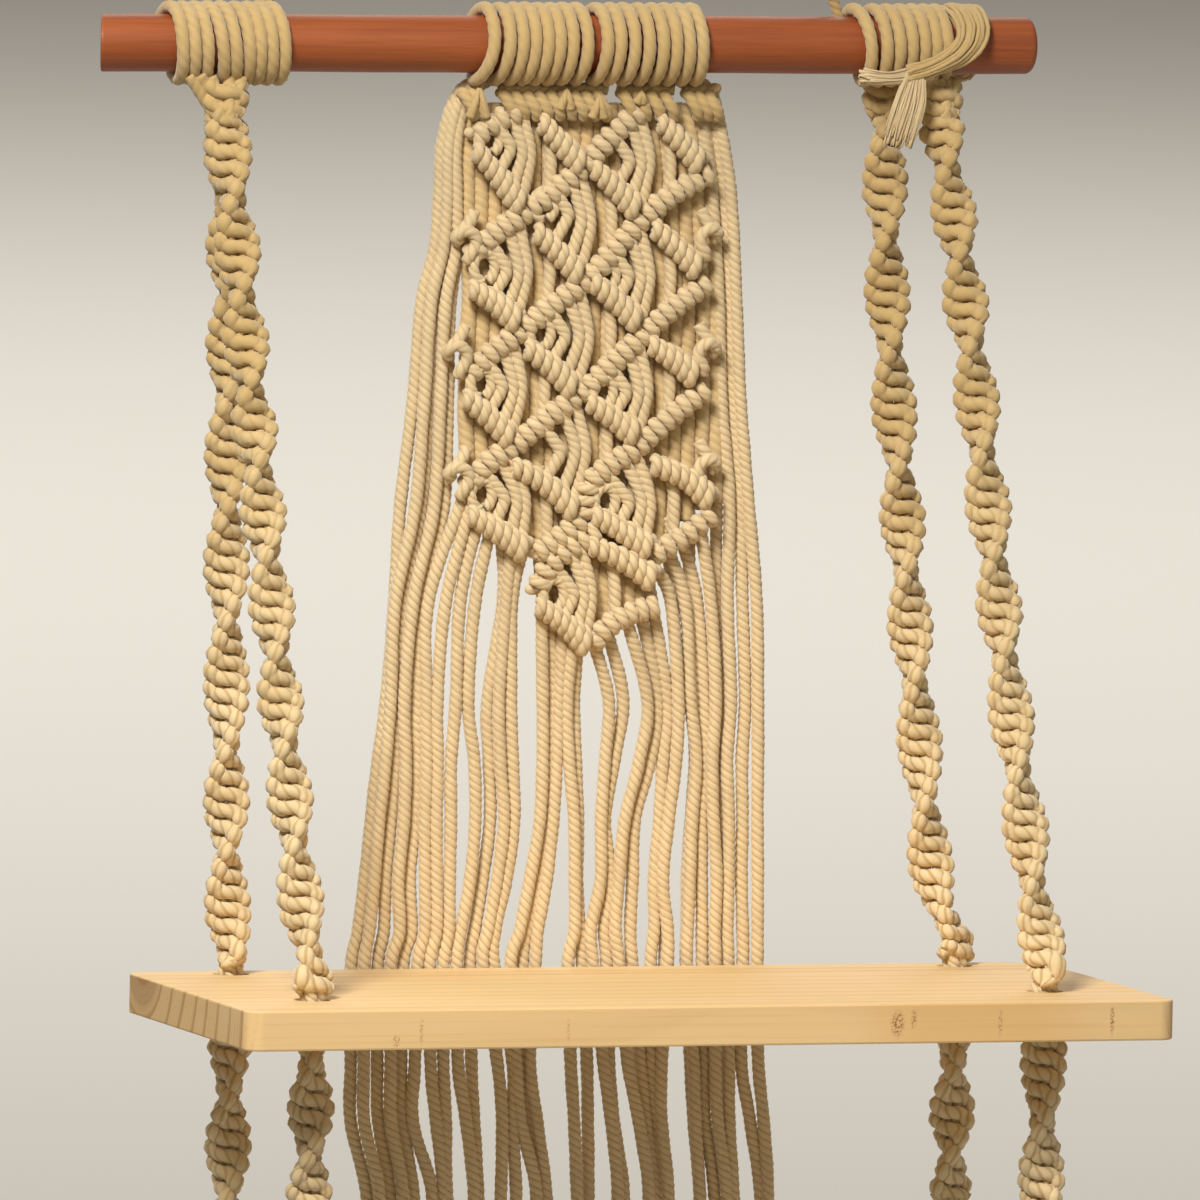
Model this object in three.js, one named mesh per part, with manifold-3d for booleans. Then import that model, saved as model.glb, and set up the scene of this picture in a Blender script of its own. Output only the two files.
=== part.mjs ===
// Hanging rope shelf: a round rail, a pine board on four spiral ropes, and a knotted net with a fringe.
// Lengths are in millimetres, +X is the viewer's right, the front faces -Y and +Z is up.
// The origin is the place on the two hooks where the hanging loops bear.
import * as THREE from 'three';
import Module from 'manifold-3d';

const full_turn = 2 * Math.PI;
const half_turn = Math.PI;
const quarter_turn = Math.PI / 2;
const degree = Math.PI / 180;
const rightwards = new THREE.Vector3(1, 0, 0);
const forwards = new THREE.Vector3(0, -1, 0);

// Gap that touching pieces keep, and the finish of each material
const gap = 0.3;
const half_share = 0.5;
const rope_colour = 0xd6c096;
const rope_shade_colour = 0xc9b083;
const rail_colour = 0x9a5a36;
const board_colour = 0xe6c692;
const rope_roughness = 0.92;
const rail_roughness = 0.5;
const board_roughness = 0.62;

// Hanging loops, their knots and the hanger cords
const hook_height = 66;
const hook_back = 12;
const left_hook_x = -139;
const right_hook_x = 119;
const hanger_diameter = 5.2;
const loop_knot_height = 36;
const loop_knot_radius = 6.5;
const loop_width = 17;
const loop_steps = 18;
const loop_sides = 8;
const loop_waist_share = 0.35;

// Rail
const rail_diameter = 26;
const rail_left = -222.5;
const rail_right = 222;
const rail_cut_share = 0.32;
const rail_left_ease = 0.8;
const rail_dome = 3;
const rail_sides = 40;
const rail_dome_steps = 5;

// Wound cord on the rail
const cord_diameter = 5.6;
const wound_steps = 14;
const wound_sides = 6;
const wound_slack = 0.55;
const apart_share = 0.6;
const left_wrap_first = -188.7;
const left_wrap_pitch = 6.07;
const left_wrap_turns = 8;
const lock_turn_x = -140.1;
const lock_turn_start = 65 * degree;
const centre_wrap_first = -41.6;
const centre_wrap_pitch = 6.57;
const centre_wrap_turns = 16;
const right_wrap_first = 145.8;
const right_wrap_pitch = 6.07;
const right_wrap_turns = 6;
const right_wrap_stop_short = 120 * degree;
const lead_turn_x = 137.9;
const lead_turn_start = 62 * degree;
const end_turn_x = 188;
const end_turn_width = 14;
const end_turn_pitch = 3;
const end_turn_start = -70 * degree;
const end_turn_stop = 205 * degree;

// Hanger cords behind the rail, as heights and sideways places
const left_hanger_mid_x = -139.6;
const left_hanger_mid_height = 19;
const right_hanger_low_x = 135.8;
const right_hanger_low_angle = -38 * degree;
const right_hanger_mid_x = 131;
const right_hanger_mid_height = 16;
const hanger_step = 5;

// Cord end laid over the right wrap, with its frayed tuft
const tail_path = [
  [182.5, 82, 2.0, 5.2],
  [177.0, 91, 2.3, 5.6],
  [168.5, 103, 2.4, 6.0],
  [159.0, 114, 2.4, 6.2],
];
const tuft_path = [
  [151.5, -21.5, -14.5, 2.5, 6.4],
  [148.0, -22.9, -22.0, 2.5, 6.8],
  [146.0, -23.2, -31.0, 2.3, 6.2],
  [145.0, -22.8, -39.0, 1.9, 5.2],
  [144.0, -22.2, -46.0, 1.2, 3.2],
];
const tail_sides = 10;

// Knots under the rail that head the four ropes
const head_radius = 9;
const head_out = 10.4;
const head_drop = 26.4;
const head_x = { left_back: -160.5, left_front: -166.8, right_back: 153, right_front: 172.6 };
const knot_sides = 12;
const knot_rings = 7;

// Board
const board_width = 436;
const board_depth = 190;
const board_thickness = 18;
const board_x = 15;
const board_back = 3;
const board_drop = 419.5;
const board_corner = 8;
const board_worn_corner = 26;
const board_ease = 0.9;
const corner_steps = 8;
const hole_diameter = 16;
const hole_steps = 20;
const ease_steps = 2;
const hole_inset = 45.4;
const back_hole_inset = 14;
const front_hole_inset = 139;

// Spiral ropes: a flat oval that turns as it goes down
const rope_width = 22;
const rope_thickness = 13.5;
const rope_step = 7.6;
const rope_sides = 8;
const rope_start_share = 0.55;
const rope_start_rings = 3;
const foot_top_share = 0.55;
const stem_rings = 3;
const foot_rings = 5;
const stem_radius = 6.6;
const stem_end_radius = 3.6;
const foot_radius = 8.8;
const foot_rise = 1.6;
const bend_rise = 13;
const stem_gap = 0.6;
const stem_taper = 2;
const ropes = {
  left_back: { half_turn_length: 49, neck_height: -325 },
  left_front: { half_turn_length: 46, neck_height: -319 },
  right_back: { half_turn_length: 52, neck_height: -193 },
  right_front: { half_turn_length: 47, neck_height: -187 },
};
const neck_direction = 110 * degree;

// Rope tails under the board, ending in a knot with a short brush
const tail_length = 90;
const tail_bulge_radius = 9.6;
const tail_bulge_share = 0.12;
const tail_knot_radius = 11;
const brush_length = 27;
const brush_neck = 6.5;
const brush_radius = 9;

// Net, head row and hanging cords: places across and down are given in columns and rows
const net_columns = [-49.5, -20.5, 8.5, 37.5, 66.5];
const net_low_shift = 5;
const net_tip_x = 14;
const net_top = -54;
const net_row = 26;
const net_rows = 8;
const net_tip = -274;
const net_front = -4.5;
const net_thickness = 6.5;
const steep_bar_width = 13.5;
const flat_bar_width = 10;
const side_knot_radius = 7.5;
const bar_end_steps = 5;
const net_head_height = -38;
const side_knot_shift = 5;

const head_row_lobes = 16;
const head_row_thickness = 7;
const head_row_stations = [
  [-19.2, -46, 67.5, 0], [-22, -48, 69.5, 0], [-28, -48, 69.5, 0], [-30.8, -47, 68.5, 0],
];
const cord_layer = 5.6;

// Stations of each group of hanging cords: height, left edge, right edge, distance behind the rail's axis
const fringe_bottom = -559;
const groups = {
  left_long_cords: {
    cords: 4,
    stations: [
      [-21.5, -56.5, -48.5, 5.2], [-45, -64, -50.5, 5.2], [-92, -68.5, -53.5, 5.2], [-118, -72, -55, 5.2],
      [-162, -76, -55, 5.2], [-210, -79, -54.5, 5.4], [-255, -82.5, -56, 6], [-300, -85.5, -59, 7],
      [-346, -91.5, -63.5, 8], [-392, -96, -66.5, 8.6], [-419, -97.5, -68, 8.8], [-465, -98.5, -68.5, 8.8],
      [-508, -97, -68.5, 8.8], [fringe_bottom, -93, -65.5, 8.8],
    ],
  },
  fringe_left: {
    cords: 3,
    stations: [
      [-222, -49.5, -35, 5.4], [-255, -54, -36, 6], [-300, -57, -39, 7], [-346, -61.5, -45.5, 8],
      [-392, -64.5, -46.5, 8.6], [-419, -66, -46.5, 8.8], [-465, -66.5, -47.5, 8.8], [-508, -66, -45.5, 8.8],
      [fringe_bottom, -63.5, -43, 8.8],
    ],
  },
  fringe_middle_left: {
    cords: 3,
    stations: [
      [-240, -32.5, -18, 5.5], [-300, -36.5, -17, 7], [-346, -42, -16.5, 8], [-392, -44, -19.5, 8.6],
      [-419, -44.5, -21.5, 8.8], [-465, -44.5, -21.5, 8.8], [-508, -42, -19, 8.8], [fringe_bottom, -40, -17, 8.8],
    ],
  },
  fringe_centre: {
    cords: 4,
    stations: [
      [-272, -11, 16.5, 6.3], [-300, -11.5, 12.5, 7], [-346, -10, 16, 8], [-392, -14.5, 18, 8.6],
      [-419, -17.5, 19, 8.8], [-465, -18, 21, 8.8], [-508, -16, 23.5, 8.8], [fringe_bottom, -13, 26, 8.8],
    ],
  },
  fringe_middle_right: {
    cords: 4,
    stations: [
      [-262, 22, 47.5, 6], [-300, 19.5, 45.5, 7], [-346, 19.5, 46.5, 8], [-392, 22, 58, 8.6],
      [-419, 23, 59.5, 8.8], [-465, 25, 57.5, 8.8], [-508, 27.5, 59.5, 8.8], [fringe_bottom, 30, 62, 8.8],
    ],
  },
  fringe_right: {
    cords: 4,
    stations: [
      [-232, 48.5, 76, 5.5], [-300, 53, 80.5, 7], [-346, 61, 83, 8], [-392, 62, 83.5, 8.6],
      [-419, 63, 84, 8.8], [-465, 65, 85.5, 8.8], [-508, 67.5, 91.5, 8.8], [fringe_bottom, 70, 93, 8.8],
    ],
  },
  right_long_cords: {
    cords: 3,
    stations: [
      [-21.5, 70, 78, 5.2], [-48, 74, 79.5, 5.2], [-71, 76.5, 84, 5.2], [-116, 77.5, 89, 5.2],
      [-162, 78.5, 92.5, 5.2], [-208, 79.5, 97, 5.4], [-254, 80.5, 98, 6], [-300, 82.5, 100, 7],
      [-346, 85, 101, 8], [-392, 85.5, 102.5, 8.6], [-419, 86.5, 103.5, 8.8], [-465, 87.5, 104, 8.8],
      [-508, 93.5, 108, 8.8], [fringe_bottom, 95.5, 110, 8.8],
    ],
  },
  back_cords: {
    cords: 12,
    stations: [
      [-25.5, -46, 68, 7.2], [-60, -48, 74, 11.4], [-110, -50.5, 78, 11.8], [-162, -51.5, 80, 11.8],
      [-210, -49.5, 81, 11.9], [-255, -44, 78, 12.2], [-292, -35, 73, 13],
    ],
  },
};
const lobe_valley_share = 0.5;

const rail_radius = rail_diameter / 2;
const wound_radius = rail_radius + cord_diameter / 2 + wound_slack;

// Closed surface through rings of points, with flat caps at its two ends unless it runs in a loop
function loft(rings, closed = false) {
  const count = rings[0].length;
  const positions = rings.flat().flatMap((p) => [p.x, p.y, p.z]);
  const faces = [];
  const last = closed ? rings.length : rings.length - 1;
  for (let i = 0; i < last; i += 1) {
    const next = (i + 1) % rings.length;
    for (let j = 0; j < count; j += 1) {
      const k = (j + 1) % count;
      const [a, b, c, d] = [i * count + j, i * count + k, next * count + k, next * count + j];
      faces.push([a, b, c], [a, c, d]);
    }
  }
  if (!closed) {
    const base = (rings.length - 1) * count;
    for (const f of capFaces(count)) {
      faces.push([f[2], f[1], f[0]]);
      faces.push(f.map((v) => v + base));
    }
  }
  return outward(positions, faces);
}

// Triangles of a flat ring of an even count, turning the same way as the ring, in a strip across it
function capFaces(count) {
  const faces = [];
  for (let j = 0; j < count / 2; j += 1) {
    const [far, opposite] = [count - j - 1, (count - j) % count];
    if (far > j + 1) faces.push([j, j + 1, far]);
    if (opposite > 0) faces.push([j, far, opposite]);
  }
  return faces;
}

// Geometry whose faces all look outwards
function outward(positions, faces) {
  const at = (v) => new THREE.Vector3(...positions.slice(v * 3, v * 3 + 3));
  const volume = faces.reduce((sum, f) => sum + at(f[0]).dot(at(f[1]).cross(at(f[2]))), 0);
  const index = faces.flatMap((f) => (volume > 0 ? f : [f[0], f[2], f[1]]));
  const geometry = new THREE.BufferGeometry();
  geometry.setAttribute('position', new THREE.Float32BufferAttribute(positions, 3));
  geometry.setIndex(index);
  geometry.computeVertexNormals();
  return geometry;
}

// Rings round a line of points; shape(i) gives the half width, half thickness and turn of each ring,
// and may give the direction that the ring's thickness looks along
function sweep(points, shape, sides, first_side, closed = false) {
  const rings = [];
  let side = first_side.clone();
  points.forEach((point, i) => {
    const before = closed ? points[(i + points.length - 1) % points.length] : points[Math.max(i - 1, 0)];
    const after = closed ? points[(i + 1) % points.length] : points[Math.min(i + 1, points.length - 1)];
    const ahead = after.clone().sub(before).normalize();
    const { width, thickness, turn, facing } = shape(i);
    if (facing) side = ahead.clone().cross(facing);
    side = side.clone().addScaledVector(ahead, -side.dot(ahead)).normalize();
    const other = ahead.clone().cross(side);
    rings.push(Array.from({ length: sides }, (_, j) => {
      const angle = (full_turn * j) / sides;
      const u = width * Math.cos(angle);
      const v = thickness * Math.sin(angle);
      return point.clone()
        .addScaledVector(side, u * Math.cos(turn) - v * Math.sin(turn))
        .addScaledVector(other, u * Math.sin(turn) + v * Math.cos(turn));
    }));
  });
  return loft(rings, closed);
}

function cord(points, diameter, sides, closed = false) {
  const round = { width: diameter / 2, thickness: diameter / 2, turn: 0 };
  return sweep(points, () => round, sides, rightwards, closed);
}

// Point round the rail: the angle starts at the back and rises over the top to the front
function roundRail(x, angle, radius) {
  return new THREE.Vector3(x, radius * Math.cos(angle), radius * Math.sin(angle));
}

// Wound cord from one angle to another, where front_x is its place as it first crosses the front
function wound(front_x, pitch, start, stop) {
  const steps = Math.ceil(((stop - start) / full_turn) * wound_steps);
  return Array.from({ length: steps + 1 }, (_, i) => {
    const angle = start + ((stop - start) * i) / steps;
    return roundRail(front_x + (pitch * (angle - half_turn)) / full_turn, angle, wound_radius);
  });
}

// Gap that a winding's points keep to its own line a good part of a turn away
function leastGap(points) {
  const apart = Math.round(wound_steps * apart_share);
  let least = Infinity;
  for (let i = 0; i < points.length; i += 1) {
    for (let j = i + apart; j < Math.min(points.length - 1, i + 2 * wound_steps); j += 1) {
      const edge = new THREE.Line3(points[j], points[j + 1]);
      const near = edge.closestPointToPoint(points[i], true, new THREE.Vector3());
      least = Math.min(least, near.distanceTo(points[i]));
    }
  }
  return least - cord_diameter;
}

// Solid turned about the vertical: pairs of radius and height, with a point at each end
function turned(profile, sides) {
  const rings = profile.map(([radius, height]) => Array.from({ length: sides }, (_, j) => {
    const angle = (full_turn * j) / sides;
    return new THREE.Vector3(radius * Math.cos(angle), radius * Math.sin(angle), height);
  }));
  return loft(rings);
}

function ball(radius) {
  const profile = Array.from({ length: knot_rings }, (_, i) => {
    const angle = (half_turn * (i + half_share)) / knot_rings - quarter_turn;
    return [radius * Math.cos(angle), radius * Math.sin(angle)];
  });
  return turned(profile, knot_sides);
}

// Smooth line through given points with steps of about the given length
function smoothLine(points, step) {
  const curve = new THREE.CatmullRomCurve3(points, false, 'centripetal');
  return curve.getSpacedPoints(Math.max(2, Math.round(curve.getLength() / step)));
}

const pine = new THREE.MeshStandardMaterial({ color: board_colour, roughness: board_roughness, metalness: 0 });
const red_wood = new THREE.MeshStandardMaterial({ color: rail_colour, roughness: rail_roughness, metalness: 0 });
const light_rope = new THREE.MeshStandardMaterial({ color: rope_colour, roughness: rope_roughness, metalness: 0 });
const deep_rope = new THREE.MeshStandardMaterial({
  color: rope_shade_colour,
  roughness: rope_roughness,
  metalness: 0,
});

const shelf = new THREE.Group();
shelf.name = 'hanging_rope_shelf';
const hook_x = (left_hook_x + right_hook_x) / 2;

function place(name, geometry, material) {
  geometry.translate(-hook_x, -hook_back, -hook_height);
  const mesh = new THREE.Mesh(geometry, material);
  mesh.name = name;
  shelf.add(mesh);
}

// Hanging loops: an eye above each knot, long enough for a hook
function hangingLoop(x) {
  const top = hook_height + hanger_diameter / 2;
  const bottom = loop_knot_height + loop_knot_radius + gap + hanger_diameter / 2;
  const points = Array.from({ length: loop_steps }, (_, i) => {
    const angle = (full_turn * i) / loop_steps;
    const rise = (1 - Math.cos(angle)) / 2;
    const half = (loop_width / 2) * Math.sin(angle) * (1 - (1 - rise) * loop_waist_share);
    return new THREE.Vector3(x + half, hook_back, bottom + (top - bottom) * rise);
  });
  const round = { width: hanger_diameter / 2, thickness: hanger_diameter / 2, turn: 0 };
  return sweep(points, () => round, loop_sides, new THREE.Vector3(0, 1, 0), true);
}

for (const [side, x] of [['left', left_hook_x], ['right', right_hook_x]]) {
  place(`${side}_hanging_loop`, hangingLoop(x), light_rope);
  place(`${side}_loop_knot`, ball(loop_knot_radius).translate(x, hook_back, loop_knot_height), light_rope);
}

// Rail: sawn aslant on the left and rounded over on the right
function railRing(radius, x, lean_share) {
  return Array.from({ length: rail_sides }, (_, j) => {
    const point = roundRail(x, (full_turn * j) / rail_sides, radius);
    return point.setX(x + lean_share * point.y);
  });
}
const rail_rings = [
  railRing(rail_radius - rail_left_ease, rail_left, rail_cut_share),
  railRing(rail_radius, rail_left + rail_left_ease, rail_cut_share),
];
for (let i = 0; i < rail_dome_steps; i += 1) {
  const angle = (quarter_turn * i) / rail_dome_steps;
  const ease = rail_dome * (1 - Math.cos(angle));
  rail_rings.push(railRing(rail_radius - ease, rail_right - rail_dome + rail_dome * Math.sin(angle), 0));
}
place('rail', loft(rail_rings), red_wood);

// Wound cords
const whole_turns = (turns) => full_turn * turns;
const left_wrap = wound(left_wrap_first, left_wrap_pitch, 0, whole_turns(left_wrap_turns));
left_wrap.push(left_wrap[left_wrap.length - 1].clone().setZ(cord_diameter));
place('left_wrap', cord(left_wrap, cord_diameter, wound_sides), light_rope);
const lock_turn = wound(lock_turn_x, left_wrap_pitch, lock_turn_start, full_turn);
place('left_lock_turn', cord(lock_turn, cord_diameter, wound_sides), light_rope);
const centre_wrap = wound(centre_wrap_first, centre_wrap_pitch, 0, whole_turns(centre_wrap_turns));
place('centre_wrap', cord(centre_wrap, cord_diameter, wound_sides), light_rope);
const right_stop = whole_turns(right_wrap_turns) - right_wrap_stop_short;
const right_wrap = wound(right_wrap_first, right_wrap_pitch, 0, right_stop);
const lead_pitch = 2 * (right_wrap[0].x - lead_turn_x);
const lead_turn = wound(lead_turn_x, lead_pitch, lead_turn_start, full_turn).slice(0, -1);
const right_line_points = [...lead_turn, ...right_wrap];
place('right_wrap', cord(right_line_points, cord_diameter, wound_sides), light_rope);
for (const [name, points] of Object.entries({ left_wrap, centre_wrap, right_wrap: right_line_points })) {
  console.log(`least gap of ${name} to itself: ${leastGap(points).toFixed(2)} mm`);
}
const end_turn = wound(end_turn_x, end_turn_pitch, end_turn_start, end_turn_stop);
const end_shape = { width: end_turn_width / 2, thickness: cord_diameter / 2, turn: 0 };
const end_geometry = sweep(end_turn, () => end_shape, tail_sides, rightwards);
place('right_end_turn', end_geometry, light_rope);

// Hanger cords: up the back of the rail and on to the knots
function hangerTop(x, from) {
  const knot = new THREE.Vector3(x, hook_back, loop_knot_height);
  const away = from.clone().sub(knot).normalize();
  return knot.addScaledVector(away, loop_knot_radius + gap);
}
const left_mid = new THREE.Vector3(left_hanger_mid_x, wound_radius, left_hanger_mid_height);
const left_low = left_wrap[left_wrap.length - 1].clone().add(new THREE.Vector3(0, 0, gap));
const left_line = smoothLine([
  left_low,
  left_low.clone().add(new THREE.Vector3(0, 0, hanger_diameter)),
  left_mid,
  hangerTop(left_hook_x, left_mid),
], hanger_step);
place('left_hanger_cord', cord(left_line, hanger_diameter, loop_sides), light_rope);
const right_mid = new THREE.Vector3(right_hanger_mid_x, wound_radius, right_hanger_mid_height);
const right_line = smoothLine([
  roundRail(right_hanger_low_x, right_hanger_low_angle, wound_radius),
  roundRail(right_hanger_low_x, right_hanger_low_angle / 2, wound_radius),
  roundRail(right_hanger_low_x, 0, wound_radius),
  right_mid,
  hangerTop(right_hook_x, right_mid),
], hanger_step);
place('right_hanger_cord', cord(right_line, hanger_diameter, loop_sides), light_rope);

// Cord end crossing the wrap, then hanging free as a frayed tuft
const over_radius = wound_radius + cord_diameter / 2 + gap;
const tail_rows = tail_path.map(([x, degrees, thickness, width]) => {
  const angle = quarter_turn + degrees * degree;
  const point = roundRail(x, angle, over_radius + thickness);
  return { point, thickness, width, facing: roundRail(0, angle, 1), turn: 0 };
});
tuft_path.forEach(([x, y, z, thickness, width]) => {
  tail_rows.push({ point: new THREE.Vector3(x, y, z), thickness, width, facing: forwards, turn: 0 });
});
const tail_points = tail_rows.map((row) => row.point);
place('frayed_tail', sweep(tail_points, (i) => tail_rows[i], tail_sides, rightwards), light_rope);

// Board with four holes
const board_left = board_x - board_width / 2;
const board_right = board_x + board_width / 2;
const board_front = board_back - board_depth;
const hole_at = {
  left_back: [board_left + hole_inset, board_back - back_hole_inset],
  left_front: [board_left + hole_inset, board_back - front_hole_inset],
  right_back: [board_right - hole_inset, board_back - back_hole_inset],
  right_front: [board_right - hole_inset, board_back - front_hole_inset],
};
const outline = new THREE.Shape();
const corner = board_corner - board_ease;
const worn = board_worn_corner - board_ease;
const [x0, x1] = [board_left + board_ease, board_right - board_ease];
const [y0, y1] = [board_front + board_ease, board_back - board_ease];
outline.moveTo(x0 + corner, y0);
outline.absarc(x1 - corner, y0 + corner, corner, -quarter_turn, 0, false);
outline.absarc(x1 - worn, y1 - worn, worn, 0, quarter_turn, false);
outline.absarc(x0 + corner, y1 - corner, corner, quarter_turn, half_turn, false);
outline.absarc(x0 + corner, y0 + corner, corner, half_turn, half_turn + quarter_turn, false);
const board_points = outline.getPoints(corner_steps);
const board_shape = new THREE.Shape(board_points);
for (const [x, y] of Object.values(hole_at)) {
  const ring = Array.from({ length: hole_steps }, (_, j) => {
    const angle = (full_turn * j) / hole_steps;
    const radius = hole_diameter / 2 + board_ease;
    return new THREE.Vector2(x + radius * Math.cos(angle), y + radius * Math.sin(angle));
  });
  board_shape.holes.push(new THREE.Path(ring));
}
const board = new THREE.ExtrudeGeometry(board_shape, {
  depth: board_thickness - 2 * board_ease,
  bevelEnabled: true,
  bevelThickness: board_ease,
  bevelSize: board_ease,
  bevelSegments: ease_steps,
  steps: 1,
});
board.translate(0, 0, -board_drop - board_thickness + board_ease);
place('board', board, pine);

// Ropes, their head knots, and the tails under the board
const board_under = -board_drop - board_thickness;
for (const [name, { half_turn_length, neck_height }] of Object.entries(ropes)) {
  const [hole_x, hole_y] = hole_at[name];
  const out = name.endsWith('front') ? -head_out : head_out;
  const head = new THREE.Vector3(head_x[name], out, -head_drop);
  const bend = new THREE.Vector3(hole_x, hole_y, -board_drop + bend_rise);
  const down = bend.clone().sub(head).normalize();
  const start = head.clone().addScaledVector(down, head_radius + gap);
  const middle = start.clone().lerp(bend, half_share);
  const above_bend = bend.clone().addScaledVector(down, -bend_rise);
  const upper = smoothLine([start, middle, above_bend], rope_step);
  const foot = new THREE.Vector3(hole_x, hole_y, -board_drop + foot_rise);
  const foot_top = foot.clone().setZ(-board_drop + bend_rise * foot_top_share);
  const stem_top = foot.clone().setZ(-board_drop + foot_rise * half_share);
  const stem_low = foot.clone().setZ(board_under + stem_gap + stem_taper);
  const stem_end = foot.clone().setZ(board_under + stem_gap);
  const points = [...upper, foot_top, foot, stem_top, stem_low, stem_end];
  const turnAt = (z) => neck_direction - (half_turn * (z - neck_height)) / half_turn_length;
  const shape = (i) => {
    const z = points[i].z;
    const above_end = points.length - 1 - i;
    if (above_end === 0) return { width: stem_end_radius, thickness: stem_end_radius, turn: 0 };
    if (above_end < stem_rings) return { width: stem_radius, thickness: stem_radius, turn: 0 };
    if (above_end < foot_rings) return { width: foot_radius, thickness: foot_radius, turn: 0 };
    const grow = Math.min(1, rope_start_share + (1 - rope_start_share) * (i / rope_start_rings));
    return { width: (rope_width / 2) * grow, thickness: (rope_thickness / 2) * grow, turn: turnAt(z) };
  };
  place(`${name}_head_knot`, ball(head_radius).translate(head.x, head.y, head.z), light_rope);
  place(`${name}_rope`, sweep(points, shape, rope_sides, rightwards), light_rope);

  const tail_top = board_under - gap;
  const tail_count = Math.round(tail_length / rope_step);
  const tail_line = Array.from({ length: tail_count + 1 }, (_, i) => (
    new THREE.Vector3(hole_x, hole_y, tail_top - (tail_length * i) / tail_count)));
  const tailShape = (i) => {
    const share = i / tail_count;
    const blend = Math.min(1, share / tail_bulge_share);
    const width = tail_bulge_radius + (rope_width / 2 - tail_bulge_radius) * blend;
    const thickness = tail_bulge_radius + (rope_thickness / 2 - tail_bulge_radius) * blend;
    return { width, thickness, turn: turnAt(tail_line[i].z) };
  };
  const tail = sweep(tail_line, tailShape, rope_sides, rightwards);
  place(`${name}_rope_tail`, tail, deep_rope);

  const knot_profile = [];
  for (let i = 0; i < knot_rings - 1; i += 1) {
    const angle = quarter_turn - (half_turn * (i + half_share)) / knot_rings;
    knot_profile.push([tail_knot_radius * Math.cos(angle), tail_knot_radius * Math.sin(angle)]);
  }
  knot_profile.push([brush_neck, -tail_knot_radius]);
  knot_profile.push([brush_radius, -tail_knot_radius - brush_length]);
  const knot = turned(knot_profile, knot_sides);
  const knot_z = tail_top - tail_length - gap - tail_knot_radius * Math.cos(half_turn / knot_rings / 2);
  place(`${name}_end_knot`, knot.translate(hole_x, hole_y, knot_z), deep_rope);
}

// Net: bars between the crossings of a diamond grid, cut out of one flat layer
const wasm = await Module();
wasm.setup();
const columns = net_columns.length;
const middle_column = 2;
function netPoint(column, row) {
  if (row < 0) return [net_columns[column], net_head_height];
  if (row >= net_rows) return [net_tip_x, net_tip];
  const shift = row < net_rows - 1 ? 0 : net_low_shift;
  return [net_columns[column] + shift, net_top - net_row * row];
}
function disc([x, z], radius) {
  return wasm.CrossSection.circle(radius, 2 * bar_end_steps).translate([x, z]);
}
const flat_pieces = [];
for (let row = -1; row < net_rows; row += 1) {
  for (let column = 0; column < columns; column += 1) {
    const crossing = (column + row + 2) % 2 === 0;
    for (const step of [-1, 1]) {
      const next = column + step;
      const inside = next >= 0 && next < columns;
      const closes = row < net_rows - 1 || next === middle_column;
      if (crossing && inside && closes) {
        const radius = (step > 0 ? steep_bar_width : flat_bar_width) / 2;
        const ends = [disc(netPoint(column, row), radius), disc(netPoint(next, row + 1), radius)];
        flat_pieces.push(wasm.CrossSection.hull(ends));
      }
    }
    const edge = column === 0 || column === columns - 1;
    if (crossing && edge && row >= 0 && row < net_rows - 1) {
      const outwards = column === 0 ? -side_knot_shift : side_knot_shift;
      const [x, z] = netPoint(column, row);
      flat_pieces.push(disc([x + outwards, z + side_knot_radius], side_knot_radius));
    }
  }
}
const layer = wasm.CrossSection.union(flat_pieces).simplify(gap);
const net_mesh = layer.extrude(net_thickness).getMesh();
const net_positions = [];
for (let v = 0; v < net_mesh.numVert; v += 1) {
  const [x, z, depth] = net_mesh.vertProperties.slice(v * net_mesh.numProp, (v + 1) * net_mesh.numProp);
  net_positions.push(x, net_front + depth, z);
}
const net_faces = [];
for (let t = 0; t < net_mesh.numTri; t += 1) {
  net_faces.push([...net_mesh.triVerts.slice(t * 3, t * 3 + 3)]);
}
place('net', outward(net_positions, net_faces).toNonIndexed(), light_rope);

// Row of cord heads and groups of hanging cords: one lobe for each cord, front and back
function cordGroup(stations, cords, thickness) {
  const lobes = 2 * cords;
  return loft(stations.map(([height, left, right, back]) => Array.from({ length: 2 * lobes }, (_, j) => {
    const across = j <= lobes ? j / lobes : 2 - j / lobes;
    const crest = j % 2 === 1;
    const end = j % lobes === 0;
    const half = end ? 0 : (thickness / 2) * (crest ? 1 : lobe_valley_share);
    const y = back + (j < lobes ? -half : half);
    return new THREE.Vector3(left + (right - left) * across, y, height);
  })));
}
place('panel_head_row', cordGroup(head_row_stations, head_row_lobes, head_row_thickness), light_rope);
for (const [name, { cords, stations }] of Object.entries(groups)) {
  place(name, cordGroup(stations, cords, cord_layer), name === 'back_cords' ? deep_rope : light_rope);
}

export default shelf;
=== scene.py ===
# %% [markdown]
# This script dresses a hanging rope shelf: a reddish rail, a pine board on four spiral ropes, and
# a knotted net with a long fringe. Every cord is a soft three-ply twist, made by one function. All
# shapes are in millimetres from the middle of the rail and are moved into the frame at the end.

# %% Load the frame
import math
import bpy
import numpy as np
from mathutils import Matrix


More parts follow.
